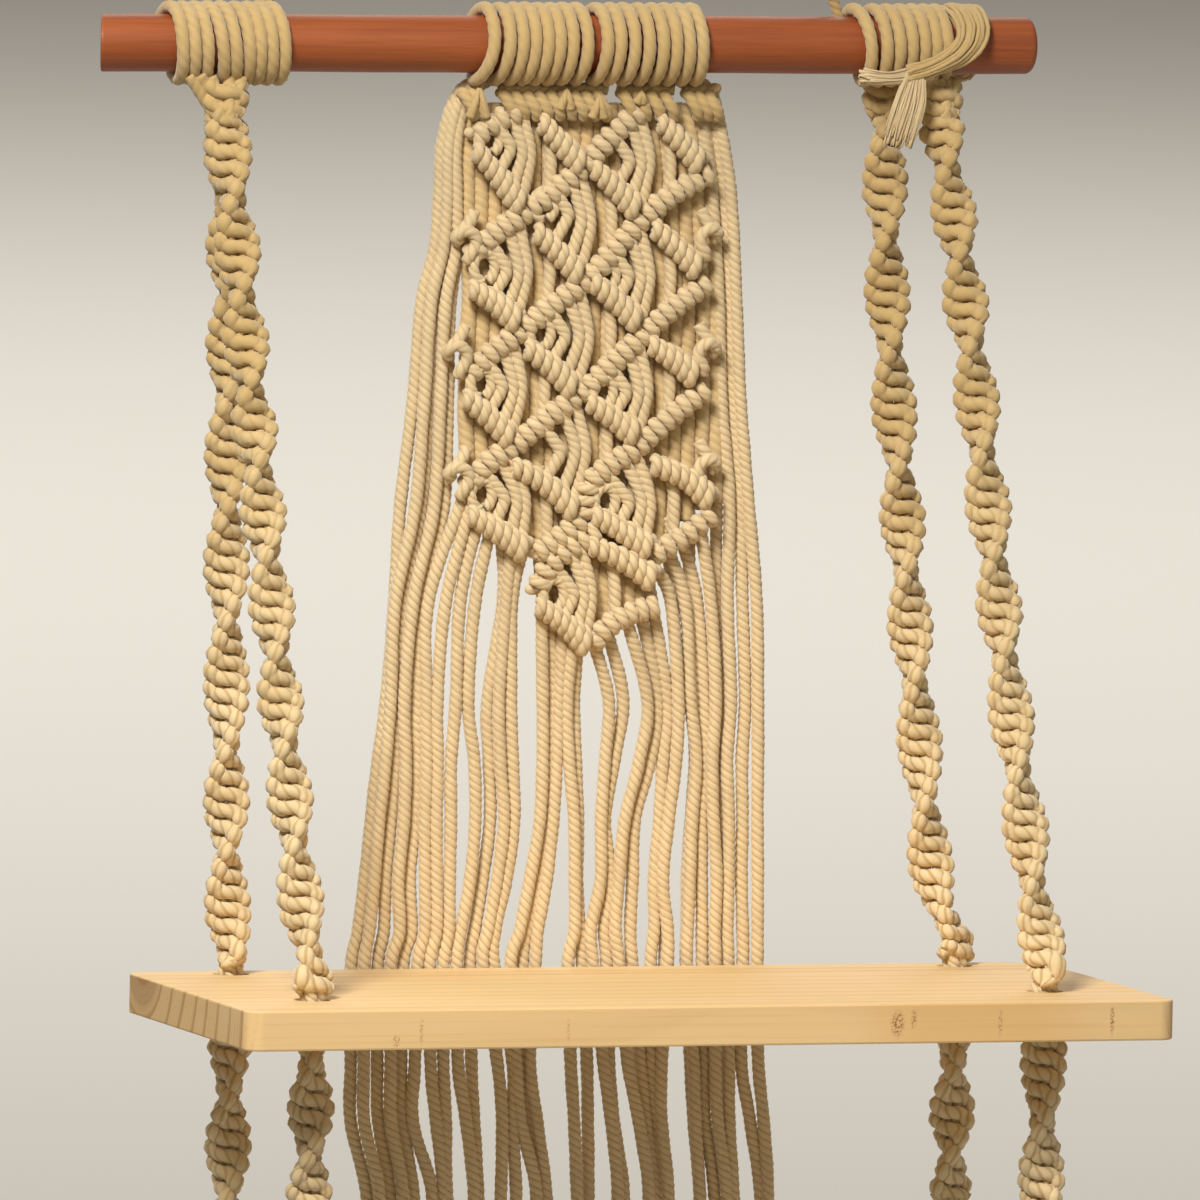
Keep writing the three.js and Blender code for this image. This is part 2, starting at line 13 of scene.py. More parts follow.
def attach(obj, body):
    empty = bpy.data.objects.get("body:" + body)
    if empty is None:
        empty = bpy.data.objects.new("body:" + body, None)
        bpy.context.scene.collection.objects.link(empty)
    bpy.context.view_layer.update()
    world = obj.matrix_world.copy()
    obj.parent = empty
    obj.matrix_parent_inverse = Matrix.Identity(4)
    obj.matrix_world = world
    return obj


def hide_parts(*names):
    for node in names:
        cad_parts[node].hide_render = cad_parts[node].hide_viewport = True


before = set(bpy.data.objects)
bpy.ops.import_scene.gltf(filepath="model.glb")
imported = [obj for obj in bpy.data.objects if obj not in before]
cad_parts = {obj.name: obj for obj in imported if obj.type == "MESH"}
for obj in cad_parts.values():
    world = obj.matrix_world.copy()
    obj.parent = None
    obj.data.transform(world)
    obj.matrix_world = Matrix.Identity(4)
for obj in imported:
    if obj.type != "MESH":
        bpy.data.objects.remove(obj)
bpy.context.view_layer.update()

RAIL_MIDDLE = np.array([10, -12, -66])
rng = np.random.default_rng(7)


def to_frame(points):
    """Millimetres from the rail's middle become metres in the frame."""
    return (np.asarray(points, float) + RAIL_MIDDLE) / 1000


print(f"{len(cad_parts)} CAD nodes loaded")

# %% [markdown]
# The photograph was taken from the front and a little to the left, and parallel lines stay nearly
# parallel in it, so the camera stands nine metres away behind a long lens. Its right, up and back
# vectors are written into its matrix, because the same lines then aim the lamps.


# %% Camera
def pose_matrix(right, up, back, place):
    """The matrix whose columns are an object's own X, Y and Z and its place."""
    table = np.eye(4)
    table[:3, :3] = np.stack([right, up, back], axis=1)
    table[:3, 3] = place
    return Matrix(table.tolist())


YAW, PITCH, ROLL = math.radians(18), math.radians(4.169), math.radians(1.042)
LENS_PIXELS, PICTURE_PIXELS, SENSOR = 20000, 1200, 36
DISTANCE = 9009
TARGET = np.array([-1.74, -60, -247.67])

ahead = np.array([math.sin(YAW) * math.cos(PITCH), math.cos(YAW) * math.cos(PITCH), -math.sin(PITCH)])
right = np.array([math.cos(YAW), -math.sin(YAW), 0])
up = np.cross(right, ahead)
right, up = (math.cos(ROLL) * right + math.sin(ROLL) * up, -math.sin(ROLL) * right + math.cos(ROLL) * up)
camera_data = bpy.data.cameras.new("camera")
camera_data.sensor_width = SENSOR
camera_data.lens = SENSOR * LENS_PIXELS / PICTURE_PIXELS
camera_data.clip_end = 100
camera = bpy.data.objects.new("camera", camera_data)
camera.matrix_world = pose_matrix(right, up, -ahead, to_frame(TARGET - DISTANCE * ahead))
bpy.context.scene.collection.objects.link(camera)
bpy.context.scene.camera = camera
print(f"camera {DISTANCE / 1000:.1f} m away behind a {camera_data.lens:.0f} mm lens")

# %% [markdown]
# A finish is a small graph of nodes, which is easier to read as a sum. So a class wraps one
# socket: its operators add Math nodes, and one method adds any other node.


# %% Shader maths
MIXED_COLOUR = 2


class Value:
    """A node socket with operators: a + b, 1 - a, a * b and a < b add the Math nodes that do it."""

    def __init__(self, tree, socket):
        self.tree, self.socket = tree, socket

    def node(self, kind, output=0, **inputs):
        """Adds a node: opt_ marks an option, and in_ and a number, or a name, an input."""
        made = self.tree.nodes.new(kind)
        for name in [n for n in inputs if n.startswith("opt_")]:
            setattr(made, name[4:], inputs.pop(name))
        for name, value in inputs.items():
            target = made.inputs[int(name[3:]) if name.startswith("in_") else name]
            if isinstance(value, Value):
                self.tree.links.new(value.socket, target)
            else:
                target.default_value = value
        return Value(self.tree, made.outputs[output])

    def math(self, operation, other=0):
        return self.node("ShaderNodeMath", opt_operation=operation, in_0=self, in_1=other)

    def __add__(self, other):
        return self.math("ADD", other)

    def __sub__(self, other):
        return self.math("SUBTRACT", other)

    def __rsub__(self, other):
        return self * -1 + other

    def __mul__(self, other):
        return self.math("MULTIPLY", other)

    def __lt__(self, other):
        return self.math("LESS_THAN", other)

    __radd__, __rmul__ = __add__, __mul__

    def between(self, low, high, to_low=0, to_high=1):
        """Eases from to_low to to_high while this value goes from low to high."""
        return self.node("ShaderNodeMapRange", opt_interpolation_type="SMOOTHSTEP",
                         in_0=self, in_1=low, in_2=high, in_3=to_low, in_4=to_high)

    def mix(self, first, second):
        """A colour between two colours, or between two sockets, by this value."""
        return self.node("ShaderNodeMix", MIXED_COLOUR, opt_data_type="RGBA",
                         in_0=self, in_6=first, in_7=second)

    def parts(self):
        made = self.tree.nodes.new("ShaderNodeSeparateXYZ")
        self.tree.links.new(self.socket, made.inputs[0])
        return [Value(self.tree, made.outputs[i]) for i in range(3)]

    def stretched(self, *scales):
        """This place times a scale on each axis: a small scale draws a pattern out."""
        return self.node("ShaderNodeMapping", in_0=self, in_3=scales)

    def noise(self, scale=1, detail=2, roughness=0.5):
        return self.node("ShaderNodeTexNoise", Vector=self, Scale=scale, Detail=detail, Roughness=roughness)


def material(name, roughness, coat=0, sheen=0):
    """A new material with a Principled shader; returns it, its shader and a starting Value."""
    made = bpy.data.materials.new(name)
    made.use_nodes = True
    tree = made.node_tree
    shader = tree.nodes["Principled BSDF"]
    for key, value in {"Roughness": roughness, "Coat Weight": coat, "Sheen Weight": sheen}.items():
        shader.inputs[key].default_value = value
    return made, shader, Value(tree, shader.outputs[0])


def feed(shader, name, value):
    value.tree.links.new(value.socket, shader.inputs[name])


def bump(shader, height, distance, strength):
    feed(shader, "Normal", height.node("ShaderNodeBump", Height=height, Distance=distance, Strength=strength))


def rgb(r, g, b):
    return (r, g, b, 1)


# %% [markdown]
# The cord is undyed cotton, cream with random dusty patches. Painted shade makes it browner in the valleys
# between the plies and darker higher up, near the rail. A picture can't follow every twist, so each mesh
# stores the height on the ply and the place along the cord, and the finish reads those.


# %% Cotton
def cotton(name, crown, valley_shade, dust_and_shade, rise=(-0.32, -0.04, 0.50)):
    """Random dust patches, plus painted shade whose share grows with height, between two heights, up to a
    third value: these are rise.
    """
    made, shader, start = material(name, 0.95, sheen=0.35)
    height = start.node("ShaderNodeAttribute", "Fac", opt_attribute_name="ply")
    spot = start.node("ShaderNodeTexCoord", "Object")
    fibres = start.node("ShaderNodeUVMap").stretched(14, 320, 1).noise(roughness=0.6)
    patches = spot.noise(scale=26, detail=3, roughness=0.6)
    fuzz = spot.noise(scale=1500, roughness=0.7)
    # Painted shade: the valleys between the plies get the darker valley colour.
    base = height.between(0, 0.7).mix(valley_shade, crown)
    # Painted shade: the darker colour's share grows with height, towards the rail. The patches are real dust.
    high = spot.parts()[2].between(rise[0], rise[1], 0, rise[2])
    dusty_and_shaded = (0.5 * patches.between(0.35, 0.75) + high).mix(base, dust_and_shade)
    # Fibre streaks are a random darker tone, drawn in the valley's shade colour.
    feed(shader, "Base Color", fibres.between(0.3, 0.7, 0, 0.16).mix(dusty_and_shaded, valley_shade))
    bump(shader, 0.6 * fibres + 0.5 * fuzz, 0.0005, 0.6)
    return made


COTTON = cotton("cotton", rgb(0.78, 0.61, 0.36), rgb(0.55, 0.39, 0.19), rgb(0.60, 0.46, 0.26))
# A darker copy of the cotton: painted shade for the ropes, windings, hanger cords and head row.
COTTON_SHADED = cotton("cotton_worn", rgb(0.80, 0.63, 0.37), rgb(0.52, 0.36, 0.16), rgb(0.52, 0.36, 0.145),
                     rise=(-0.41, -0.17, 0.85))
# A darker, browner copy for the cords behind the net: painted shade.
COTTON_BACK_SHADED = cotton("cotton_deep", rgb(0.68, 0.50, 0.25), rgb(0.58, 0.41, 0.18), rgb(0.62, 0.44, 0.21))
print("three cotton finishes")

# %% [markdown]
# A cord's cross-section has one bulge for each ply and turns as it goes along, which a bevelled
# curve can't do. So rings of points are worked out as arrays and gathered into one mesh: bands of
# quads join the rings, and strips of quads close the two ends.


# %% Mesh building
class Gather:
    """Collects tubes and writes them as one mesh with a UV map and a ply attribute."""

    def __init__(self):
        self.points, self.faces, self.uv, self.ply, self.count = [], [], [], [], 0

    def add(self, rings, along, ply):
        """rings is (rings, sides, 3), along the distance of each ring, ply the height of each point."""
        n, m = rings.shape[:2]
        index = np.arange(n * m).reshape(n, m) + self.count
        after = np.roll(index, -1, axis=1)
        bands = np.stack([index[:-1], after[:-1], after[1:], index[1:]], axis=-1).reshape(-1, 4)
        j = np.arange(m // 2 - 1)
        strip = np.stack([j, j + 1, m - 2 - j, m - 1 - j], axis=-1)
        self.faces += [bands, index[0][strip[:, ::-1]], index[-1][strip]]
        self.points.append(rings.reshape(-1, 3))
        around = np.broadcast_to(np.arange(m) / m, (n, m))
        metres = np.broadcast_to(along[:, None] / 1000, (n, m))
        self.uv.append(np.stack([around, metres], axis=-1).reshape(-1, 2))
        self.ply.append(np.broadcast_to(ply, (n, m)).reshape(-1))
        self.count += n * m

    def write(self, name, finish, move=None):
        """The points, moved by a function where one is given, become a mesh object."""
        points = np.concatenate(self.points)
        points = to_frame(points if move is None else move(points))
        faces = np.concatenate(self.faces)
        mesh = bpy.data.meshes.new(name)
        mesh.from_pydata(points, [], faces, shade_flat=False)
        uv = mesh.uv_layers.new(name="UVMap")
        uv.data.foreach_set("uv", np.concatenate(self.uv)[faces.ravel()].astype(np.float32).ravel())
        ply = mesh.attributes.new("ply", "FLOAT", "POINT")
        ply.data.foreach_set("value", np.concatenate(self.ply).astype(np.float32))
        mesh.validate()
        mesh.materials.append(finish)
        made = bpy.data.objects.new(name, mesh)
        bpy.context.scene.collection.objects.link(made)
        return made


# %% [markdown]
# Four helpers carry a shape along a line: the distance along it, the points at given distances, a
# smooth line through a few points, and two directions across it that turn no more than it does.


# %% Lines and cords
def along_line(points):
    """Distance of each point along a line, from the sum of the steps before it."""
    steps = np.linalg.norm(np.diff(points, axis=0), axis=1)
    return np.concatenate([[0], np.cumsum(steps)])


def sampled(table, run, spots):
    """The rows of a table, one for each distance in run, interpolated at other distances."""
    return np.stack([np.interp(spots, run, table[:, k]) for k in range(3)], axis=1)


def smooth(points, step):
    """A Catmull-Rom line through the points, cut into equal steps of about the given length."""
    p = np.asarray(points, float)
    p = np.concatenate([[2 * p[0] - p[1]], p, [2 * p[-1] - p[-2]]])
    t = np.linspace(0, 1, 12, endpoint=False)[:, None]
    pieces = [0.5 * (2 * b + (c - a) * t + (2 * a - 5 * b + 4 * c - d) * t ** 2
                     + (3 * b - a - 3 * c + d) * t ** 3)
              for a, b, c, d in zip(p[:-3], p[1:-2], p[2:-1], p[3:])]
    fine = np.concatenate(pieces + [p[-2:-1]])
    run = along_line(fine)
    return sampled(fine, run, np.linspace(0, run[-1], max(3, int(round(run[-1] / step)) + 1)))


def carried_sides(line, first):
    """Unit vectors across a line, each the one before it turned as little as the line turns."""
    tangent = np.gradient(line, axis=0)
    tangent /= np.linalg.norm(tangent, axis=1)[:, None]
    side = np.empty_like(tangent)
    now = np.asarray(first, float)
    for i, t in enumerate(tangent):
        now = now - now.dot(t) * t
        now /= np.linalg.norm(now)
        side[i] = now
    return side, np.cross(tangent, side)


def cord(gather, points, radius, lay=15, depth=0.17, sides=12, plies=3, step=1.5, start=0, ready=False):
    """A twisted cord along a line. Each ring's radius is r * (1 - depth * (1 - sin of the ply angle)),
    so it has one crown for each ply, and the ring turns once in the lay's length. Two slow waves
    change r by about two per cent, because cotton cord is never quite even."""
    line = np.asarray(points, float) if ready else smooth(points, step)
    run = along_line(line)
    first = (1, 0, 0) if abs(line[1][0] - line[0][0]) < 0.8 * np.linalg.norm(line[1] - line[0]) else (0, 0, 1)
    a, b = carried_sides(line, first)
    angle = 2 * np.pi * np.arange(sides) / sides
    crown = np.abs(np.sin(0.5 * plies * angle))
    shape = 1 - depth * (1 - crown)
    turned = angle[None, :] - 2 * np.pi * run[:, None] / lay + start
    lumps = 1 + 0.022 * np.sin(run / 3.1 + 5 * start) + 0.018 * np.sin(run / 7.3 + 3 * start)
    size = (np.broadcast_to(np.asarray(radius, float), run.shape) * lumps)[:, None] * shape[None, :]
    rings = (line[:, None, :] + (size * np.cos(turned))[..., None] * a[:, None, :]
             + (size * np.sin(turned))[..., None] * b[:, None, :])
    gather.add(rings, run, crown[None, :])


def finish_piece(piece, slot, body, *nodes):
    """Attaches a piece to its body and hides the CAD nodes that it stands for; slot is not used."""
    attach(piece, body)
    if nodes:
        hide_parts(*nodes)
    print(f"{piece.name}: {len(piece.data.polygons)} faces on {body}")
    return piece


# Pieces take the darker copy of the cotton, painted shade, unless a finish is given.
def cotton_piece(gather, name, body, *nodes, finish=COTTON_SHADED, move=None):
    return finish_piece(gather.write(name, finish, move), "cotton_rope", body, *nodes)


def one_cord(name, body, node, *shape, **options):
    """A piece that is a single cord, with the shape and options of cord."""
    made = Gather()
    cord(made, *shape, **options)
    cotton_piece(made, name, body, node)


# %% [markdown]
# Two cords hold the shelf up. Each comes up behind the rail to a knot, and an eye above it goes
# over a hook. The picture ends below them, so their shape is the usual one. The knot winds round a
# ring, because one formula then closes it with no loose end to hide.

# %% Hanger cords and eyes
HANGER, WOUND = 2.6, 16.35
KNOT_HEIGHT, HOOK_BACK = 36, 12
EYE_LOW, EYE_TALL, EYE_HALF, EYE_NARROWING = 45.4, 23.2, 8.5, 0.35
LEG_HALF, LEG_LOW, LEG_HIGH = 1.6, 37, 43


def round_rail(x, degrees, radius=WOUND):
    """x, radius * cos, radius * sin: the angle starts at the back and rises over the top to the front."""
    angle = np.radians(degrees)
    return np.stack(np.broadcast_arrays(x, radius * np.cos(angle), radius * np.sin(angle)), axis=-1)


def knot_line(radius, tube):
    """A closed knot on a ring: it goes twice round the ring while it goes three times round the tube."""
    t = np.linspace(0, 2 * np.pi, 120)
    ring = radius + tube * np.cos(3 * t)
    return np.stack([ring * np.cos(2 * t), ring * np.sin(2 * t), tube * 1.25 * np.sin(3 * t)], axis=1)


def eye_line(x):
    """half * sin(t) sideways, less towards the foot, and (1 - cos(t)) / 2 of the height upwards."""
    t = np.linspace(0.06, 2 * np.pi - 0.06, 60)
    rise = (1 - np.cos(t)) / 2
    across = x + EYE_HALF * np.sin(t) * (1 - (1 - rise) * EYE_NARROWING)
    eye = np.stack([across, np.full_like(t, HOOK_BACK), EYE_LOW + EYE_TALL * rise], axis=1)
    up = [(x + LEG_HALF, HOOK_BACK, LEG_LOW), (x + LEG_HALF, HOOK_BACK, LEG_HIGH)]
    down = [(x - LEG_HALF, HOOK_BACK, LEG_HIGH), (x - LEG_HALF, HOOK_BACK, LEG_LOW)]
    return np.concatenate([up, eye, down])


hooks = {"left": -139, "right": 119.0}
hanger_lines = {
    "left": [(-143.2, WOUND, 5.9), (-143, WOUND, 11.1), (-139.6, WOUND, 19), (-139.1, 13.3, 29.4),
             (-139, 12.2, 35)],
    "right": [*round_rail(135.8, [-38, -19, 0]), (131, WOUND, 16), (122.2, 13.4, 30.2),
              (119.4, 12.2, 35)],
}
for side, x in hooks.items():
    knot = knot_line(2.6, 2.3) + (x, HOOK_BACK, KNOT_HEIGHT)
    one_cord(f"hanger_cord_{side}", "rail_body", f"{side}_hanger_cord", hanger_lines[side], HANGER, lay=12)
    one_cord(f"eye_{side}", "hanging_loops", f"{side}_hanging_loop", eye_line(x), HANGER, lay=12)
    one_cord(f"eye_knot_{side}", "hanging_loops", f"{side}_loop_knot", knot, 2.3, lay=12, step=1)

# %% [markdown]
# Both woods are finished by formula, so that the end faces show the same grain as the sides, which a
# wrapped picture never does. The rail is reddish, with grain drawn out along it. The pine's rings
# are circles round a line above the board's back edge, and its front edge has a few dark marks.


# %% Wood
def rail_finish():
    made, shader, start = material("rail_wood", 0.5, coat=0.06)
    spot = start.node("ShaderNodeTexCoord", "Object")
    grain = spot.stretched(5, 150, 150).noise(detail=4, roughness=0.62)
    pores = spot.stretched(30, 1100, 1100).noise()
    broad = spot.noise(scale=9)
    base = grain.between(0.32, 0.68).mix(rgb(0.25, 0.055, 0.012), rgb(0.36, 0.088, 0.019))
    base = (0.30 * pores.between(0.52, 0.72)).mix(base, rgb(0.15, 0.035, 0.010))
    base = (0.30 * broad.between(0.45, 0.7)).mix(base, rgb(0.40, 0.110, 0.028))
    feed(shader, "Base Color", base)
    feed(shader, "Roughness", grain.between(0.2, 0.8, 0.45, 0.6))
    bump(shader, 0.5 * pores + 0.3 * grain, 0.0002, 0.4)
    return made


RING_LINE_Y, RING_LINE_Z = -0.036, -0.4725
RINGS_A_METRE, FINE_RINGS_A_METRE = 58, 271
END_FACE_X, FRONT_FACE_Y = -0.1929, -0.1975
# Marks on the front edge: x, z, half width and half height in millimetres in the frame, and strength
MARKS = [(-124, -499.5, 2.2, 3.5, 0.7), (-112.5, -495, 1.2, 8.5, 0.5), (-44, -495, 1, 8.5, 0.4),
         (110.5, -494.5, 4.2, 7.5, 0.9), (118, -492.5, 1.8, 6, 0.8), (159, -494.5, 1.4, 8, 0.5),
         (212, -494, 1.4, 8.5, 0.9)]


def pine_finish():
    """Rings: distance from the ring line, with noise that bends them along the board.
    Marks: the distance from each place, in half widths and half heights."""
    made, shader, start = material("board_pine", 0.6, coat=0.03)
    spot = start.node("ShaderNodeTexCoord", "Object")
    bend = spot.stretched(2, 9, 9).noise() - 0.5
    x, y, z = spot.parts()
    across = y + bend * 0.022 - RING_LINE_Y
    rise = z + bend * 0.010 - RING_LINE_Z
    ring = (across * across + rise * rise).math("SQRT")
    year = (ring * RINGS_A_METRE).math("FRACT")
    late = year.between(0.66, 0.90) * (1 - year.between(0.93, 0.99))
    fine = (ring * FINE_RINGS_A_METRE).math("FRACT")
    thin = fine.between(0.5, 0.85) * (1 - fine.between(0.9, 1))
    fibre = spot.stretched(7, 600, 600).noise(detail=3, roughness=0.6)
    broad = spot.stretched(3, 26, 60).noise()
    speckle = spot.noise(scale=900, roughness=0.6)
    end_face, front_face = x < END_FACE_X, y < FRONT_FACE_Y
    base = (late * (0.30 + 0.50 * end_face)).mix(rgb(0.80, 0.55, 0.26), rgb(0.47, 0.24, 0.07))
    base = (thin * (0.10 + 0.12 * end_face)).mix(base, rgb(0.50, 0.27, 0.09))
    base = (0.34 * fibre.between(0.50, 0.80)).mix(base, rgb(0.60, 0.35, 0.12))
    base = (0.35 * broad.between(0.45, 0.75)).mix(base, rgb(0.88, 0.66, 0.36))
    base = (end_face * ring.between(0.024, 0.032, 0.60, 0.12)).mix(base, rgb(0.36, 0.18, 0.06))
    warm = x.between(0.085, 0.125) * (1 - x.between(0.17, 0.215)) * front_face
    base = (0.40 * warm).mix(base, rgb(0.72, 0.39, 0.12))
    for mark_x, mark_z, wide, tall, strength in MARKS:
        near = start.node("ShaderNodeMapping", in_0=spot, in_1=(-mark_x / wide, 0, -mark_z / tall),
                          in_3=(1000 / wide, 0, 1000 / tall))
        away = start.node("ShaderNodeVectorMath", "Value", opt_operation="LENGTH", in_0=near)
        spots = (1 - away.between(0.35, 1)) * speckle.between(0.42, 0.60) * front_face
        base = (spots * strength).mix(base, rgb(0.30, 0.09, 0.025))
    feed(shader, "Base Color", base)
    feed(shader, "Roughness", fibre.between(0.2, 0.8, 0.52, 0.7))
    bump(shader, 0.5 * fibre + 0.3 * late, 0.0002, 0.4)
    return made


RAIL_WOOD, PINE = rail_finish(), pine_finish()
print(f"two woods, the pine with {len(MARKS)} marks")

# %% [markdown]
# The rail is one round bar, sawn aslant at the left and rounded over at the right. A cylinder
# would have to be cut and bevelled, so it is turned from a list of radii. Each ring is moved along
# X by a share of its own Y, and that share dies out a little way from the sawn end.

# %% Rail
RAIL_LEFT, CUT_SHARE, CUT_REACH, RAIL_SIDES = -222.5, 0.32, 30, 96
ease = np.linspace(0, np.pi / 2, 7)
places = np.concatenate([[0, 0, 0, 0.2, 0.8, 1.6], np.linspace(12, 437.5, 44),
                         438.5 + 3 * np.sin(ease), [441.5, 441.5]]) + RAIL_LEFT
radii = np.concatenate([[0.6, 6, 12.1, 12.7, 12.95, 13], np.full(44, 13), 10 + 3 * np.cos(ease),
                        [6, 0.6]])
slant = CUT_SHARE * np.clip(1 - (places - RAIL_LEFT - 1.6) / CUT_REACH, 0, 1)
angle = 2 * np.pi * np.arange(RAIL_SIDES) / RAIL_SIDES
y, z = radii[:, None] * np.cos(angle), radii[:, None] * np.sin(angle)
x = places[:, None] + slant[:, None] * y
wave = 0.10 * np.sin(x / 31) + 0.06 * np.sin(x / 11 + 1)
made = Gather()
made.add(np.stack([x, y, z + wave * (radii[:, None] > 12)], axis=2), places, np.ones((1, RAIL_SIDES)))
finish_piece(made.write("rail_turned", RAIL_WOOD), "rail_wood", "rail_body", "rail")

# %% [markdown]
# The board keeps the CAD's own solid, which has the holes and the rounded corners, and only gets
# the pine.

# %% Board
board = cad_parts["board"]
board.data.materials.clear()
board.data.materials.append(PINE)
print("board in pine")

# %% [markdown]
# The windings hold the ropes and the net on the rail. They are laid by hand, so the turns are
# uneven, while a screw modifier would make them alike. So each line is worked out: it crosses the
# front at listed places, and its tops and bottoms are shifted, because the turns lean.

# %% Wound cord
CORD, LONE_TURN, TURN_STEP = 3, 6.07, 7.5


def wound(fronts, tops, bottoms, start, stop):
    """x at the top, front and bottom of each turn is listed, and x between them follows a smooth line."""
    fronts = np.asarray(fronts, float)
    turns = 360 * np.arange(len(fronts))
    gaps = np.gradient(fronts) if len(fronts) > 1 else np.array([LONE_TURN])
    degrees = np.concatenate([turns, turns + 90, turns + 180, turns + 270, [360 * len(turns)]])
    x = np.concatenate([fronts - gaps / 2, fronts - gaps / 4 + tops, fronts, fronts + gaps / 4 + bottoms,
                        [fronts[-1] + gaps[-1] / 2]])
    order = np.argsort(degrees, kind="stable")
    angle = np.arange(start, stop + 1e-6, TURN_STEP)
    raw = np.interp(angle, degrees[order], x[order])
    window = np.hanning(11)
    soft = np.convolve(np.pad(raw, 4, mode="edge"), window[1:-1] / window.sum(), "valid")
    return round_rail(soft, angle)


# For each winding: x of the fronts, shifts of the tops and of the bottoms, first and last angle
WINDINGS = {
    "left_wrap": (
        [-189.1, -183.3, -177.2, -170.2, -164.1, -157.7, -152.3, -146.7],
        [0.3, 0.3, -0.2, -1.4, -1.2, -1, -0.9, -0.9], [1.6, 1.2, 1, 2.6, 2.2, 1.7, 1, 0.7], 0, 2880),
    "left_lock_turn": ([-140.8], [-1], [0], 65, 360),
    "centre_wrap": (
        [-42, -34.5, -28.3, -22.4, -16.5, -10.8, -4.6, 2.4, 11.8, 18, 24.8, 31.6, 38.3, 44.6, 50.8, 57],
        [2, 1.6, 1.4, 1.4, 1.3, 1.2, 1.2, 1, 1, 1, 0.8, 0.8, 0.6, 0.4, 0.2, 0.2],
        [-7.5, -5.2, -4.4, -4.2, -4, -3.8, -3.8, -4.2, -4.6, -3.8, -3.2, -2.6, -2.2, -1.6, -1.2, -0.8],
        0, 5760),
    "right_wrap": (
        [137.6, 145.1, 151.3, 157.3, 163.3, 168.8, 173.9],
        [-2.2, -0.4, -0.4, -0.2, -0.2, 0, 0], [-0.6, -1.2, -1.2, -1, -0.8, -0.5, 0], 62, 2400),
}
for name, winding in WINDINGS.items():
    one_cord(f"cord_{name}", "rail_body", name, wound(*winding), CORD, lay=17, step=1.4, depth=0.10)

# %% [markdown]
# The right winding's cord ends in the open: its strands come over the rail, cross the winding and
# fray out. A ribbon would look flat from the side, so thin strands lie in three layers, and single
# fibres fall from their end: some go on to the left and most hang down as a tuft.

# %% Frayed cord end
STRANDS, STRANDS_ACROSS, FIBRES, FIBRES_LEFT = 27, 9, 240, 70
made = Gather()
angles = np.linspace(-60, 150, 18)
over_x = np.interp(angles, [-60, 30, 90, 130, 150], [189, 186.5, 184, 186, 186.5])
crossing = np.array([[184, -18.6, 2.5], [178.5, -21, -3], [171, -22.4, -7],
                     [162, -22.8, -10.6], [152.5, -22.8, -13]])
spine = smooth(np.concatenate([round_rail(over_x, angles, WOUND + 0.6), crossing]), 2.5)
out = spine * (0, 1, 1)
out /= np.linalg.norm(out, axis=1)[:, None]
across = np.cross(np.gradient(spine, axis=0), out)
across /= np.linalg.norm(across, axis=1)[:, None]
share = np.linspace(0, 1, len(spine))
narrow = np.interp(share, [0, 0.35, 0.62, 0.85, 1], [5, 7.6, 6.4, 3.4, 3.4])
for k in range(STRANDS):
    place, layer = (k % STRANDS_ACROSS - 4) / 4, k // STRANDS_ACROSS
    spread = narrow * place + 0.6 * np.sin(5 * share + k * 1.9)
    rise = (layer - 1) * 1.5 - 1 * place ** 2 + 0.5 * np.sin(6 * share + k)
    line = spine + across * spread[:, None] + out * rise[:, None]
    cord(made, line, 1.25 * (1 - 0.25 * share), lay=26, depth=0.12, sides=9, ready=True, start=k)
cotton_piece(made, "cord_end_turn", "rail_body", "right_end_turn")
made = Gather()
for k in range(FIBRES):
    u, v = rng.uniform(-1, 1), rng.uniform(0, 1)
    top = np.array([156.5 + 4 * u, -22.8 + rng.uniform(-1.6, 1.6), -12 - 2.6 * u])
    if k < FIBRES_LEFT:
        tip = np.array([129 + 6 * v, -22.6 + rng.uniform(-1, 1),
                        -13.2 - 3.4 * u + rng.uniform(-0.5, 0.5)])
        middle = (top + tip) / 2 + (0.5, 0, -1.2 + 0.6 * u)
    else:
        tip = np.array([149.5 + 6.5 * u + rng.uniform(-2, 2), -22.8 + rng.uniform(-1.2, 1.2),
                        -36 - 10 * v ** 1.3])
        middle = (top + tip) / 2 + (1 + 1.5 * u, -0.6, 1.2)
    cord(made, [top, middle, tip], rng.uniform(0.32, 0.55), lay=40, step=3, sides=6, plies=1, depth=0)
cotton_piece(made, "cord_frayed_tuft", "rail_body", "frayed_tail", finish=COTTON)

# %% [markdown]
# A spiral rope is a chain of half knots on two straight cords. In each knot one cord crosses the
# front and the other the back, each comes round the edge under the other, and they swap places from
# knot to knot. One list of points gives the front, and the same list turned over the back.

# %% Half knots
FRONT = [(-1.14, 0, 0.50), (-1.12, 0.52, 0.36), (-0.86, 0.46, 0.20), (-0.62, 0.80, 0.07), (-0.34, 1.13, 0.02),
         (0, 1.20, 0), (0.34, 1.13, -0.02), (0.62, 0.80, -0.07), (0.86, 0.46, -0.20), (1.12, 0.52, -0.36)]
BACK = [(-x, -y, z) for x, y, z in FRONT]
KNOT_PITCH, WIDE, DEEP, TUBE = 7.4, 6.8, 2.5, 3.25


def half_knots(count, pitch):
    """Both working cords and both straight cords of a chain, from 0 down to -count * pitch."""
    made = Gather()
    size = np.array([WIDE, DEEP, pitch])
    for first in (0, 1):
        line = []
        for k in range(count):
            role = np.array(FRONT if (k + first) % 2 == 0 else BACK)
            line.append(role * size + (0, 0, -(k + 0.5) * pitch))
        cord(made, np.concatenate(line), TUBE, lay=15, step=1.3, depth=0.10, start=2 * first)
    for x in (-0.36, 0.36):
        straight = [(x * WIDE, 0, -s) for s in np.linspace(0, count * pitch, 4)]
        cord(made, straight, TUBE * 0.9, lay=13, step=2.5, depth=0.11)
    return made


# %% [markdown]
# The chain is made straight and then bent. A curve modifier couldn't turn it by listed angles, so
# each point finds its place along the rope's line and is turned there: half a turn from each neck to
# the next. The necks are the heights where the photograph shows the chain edge on.


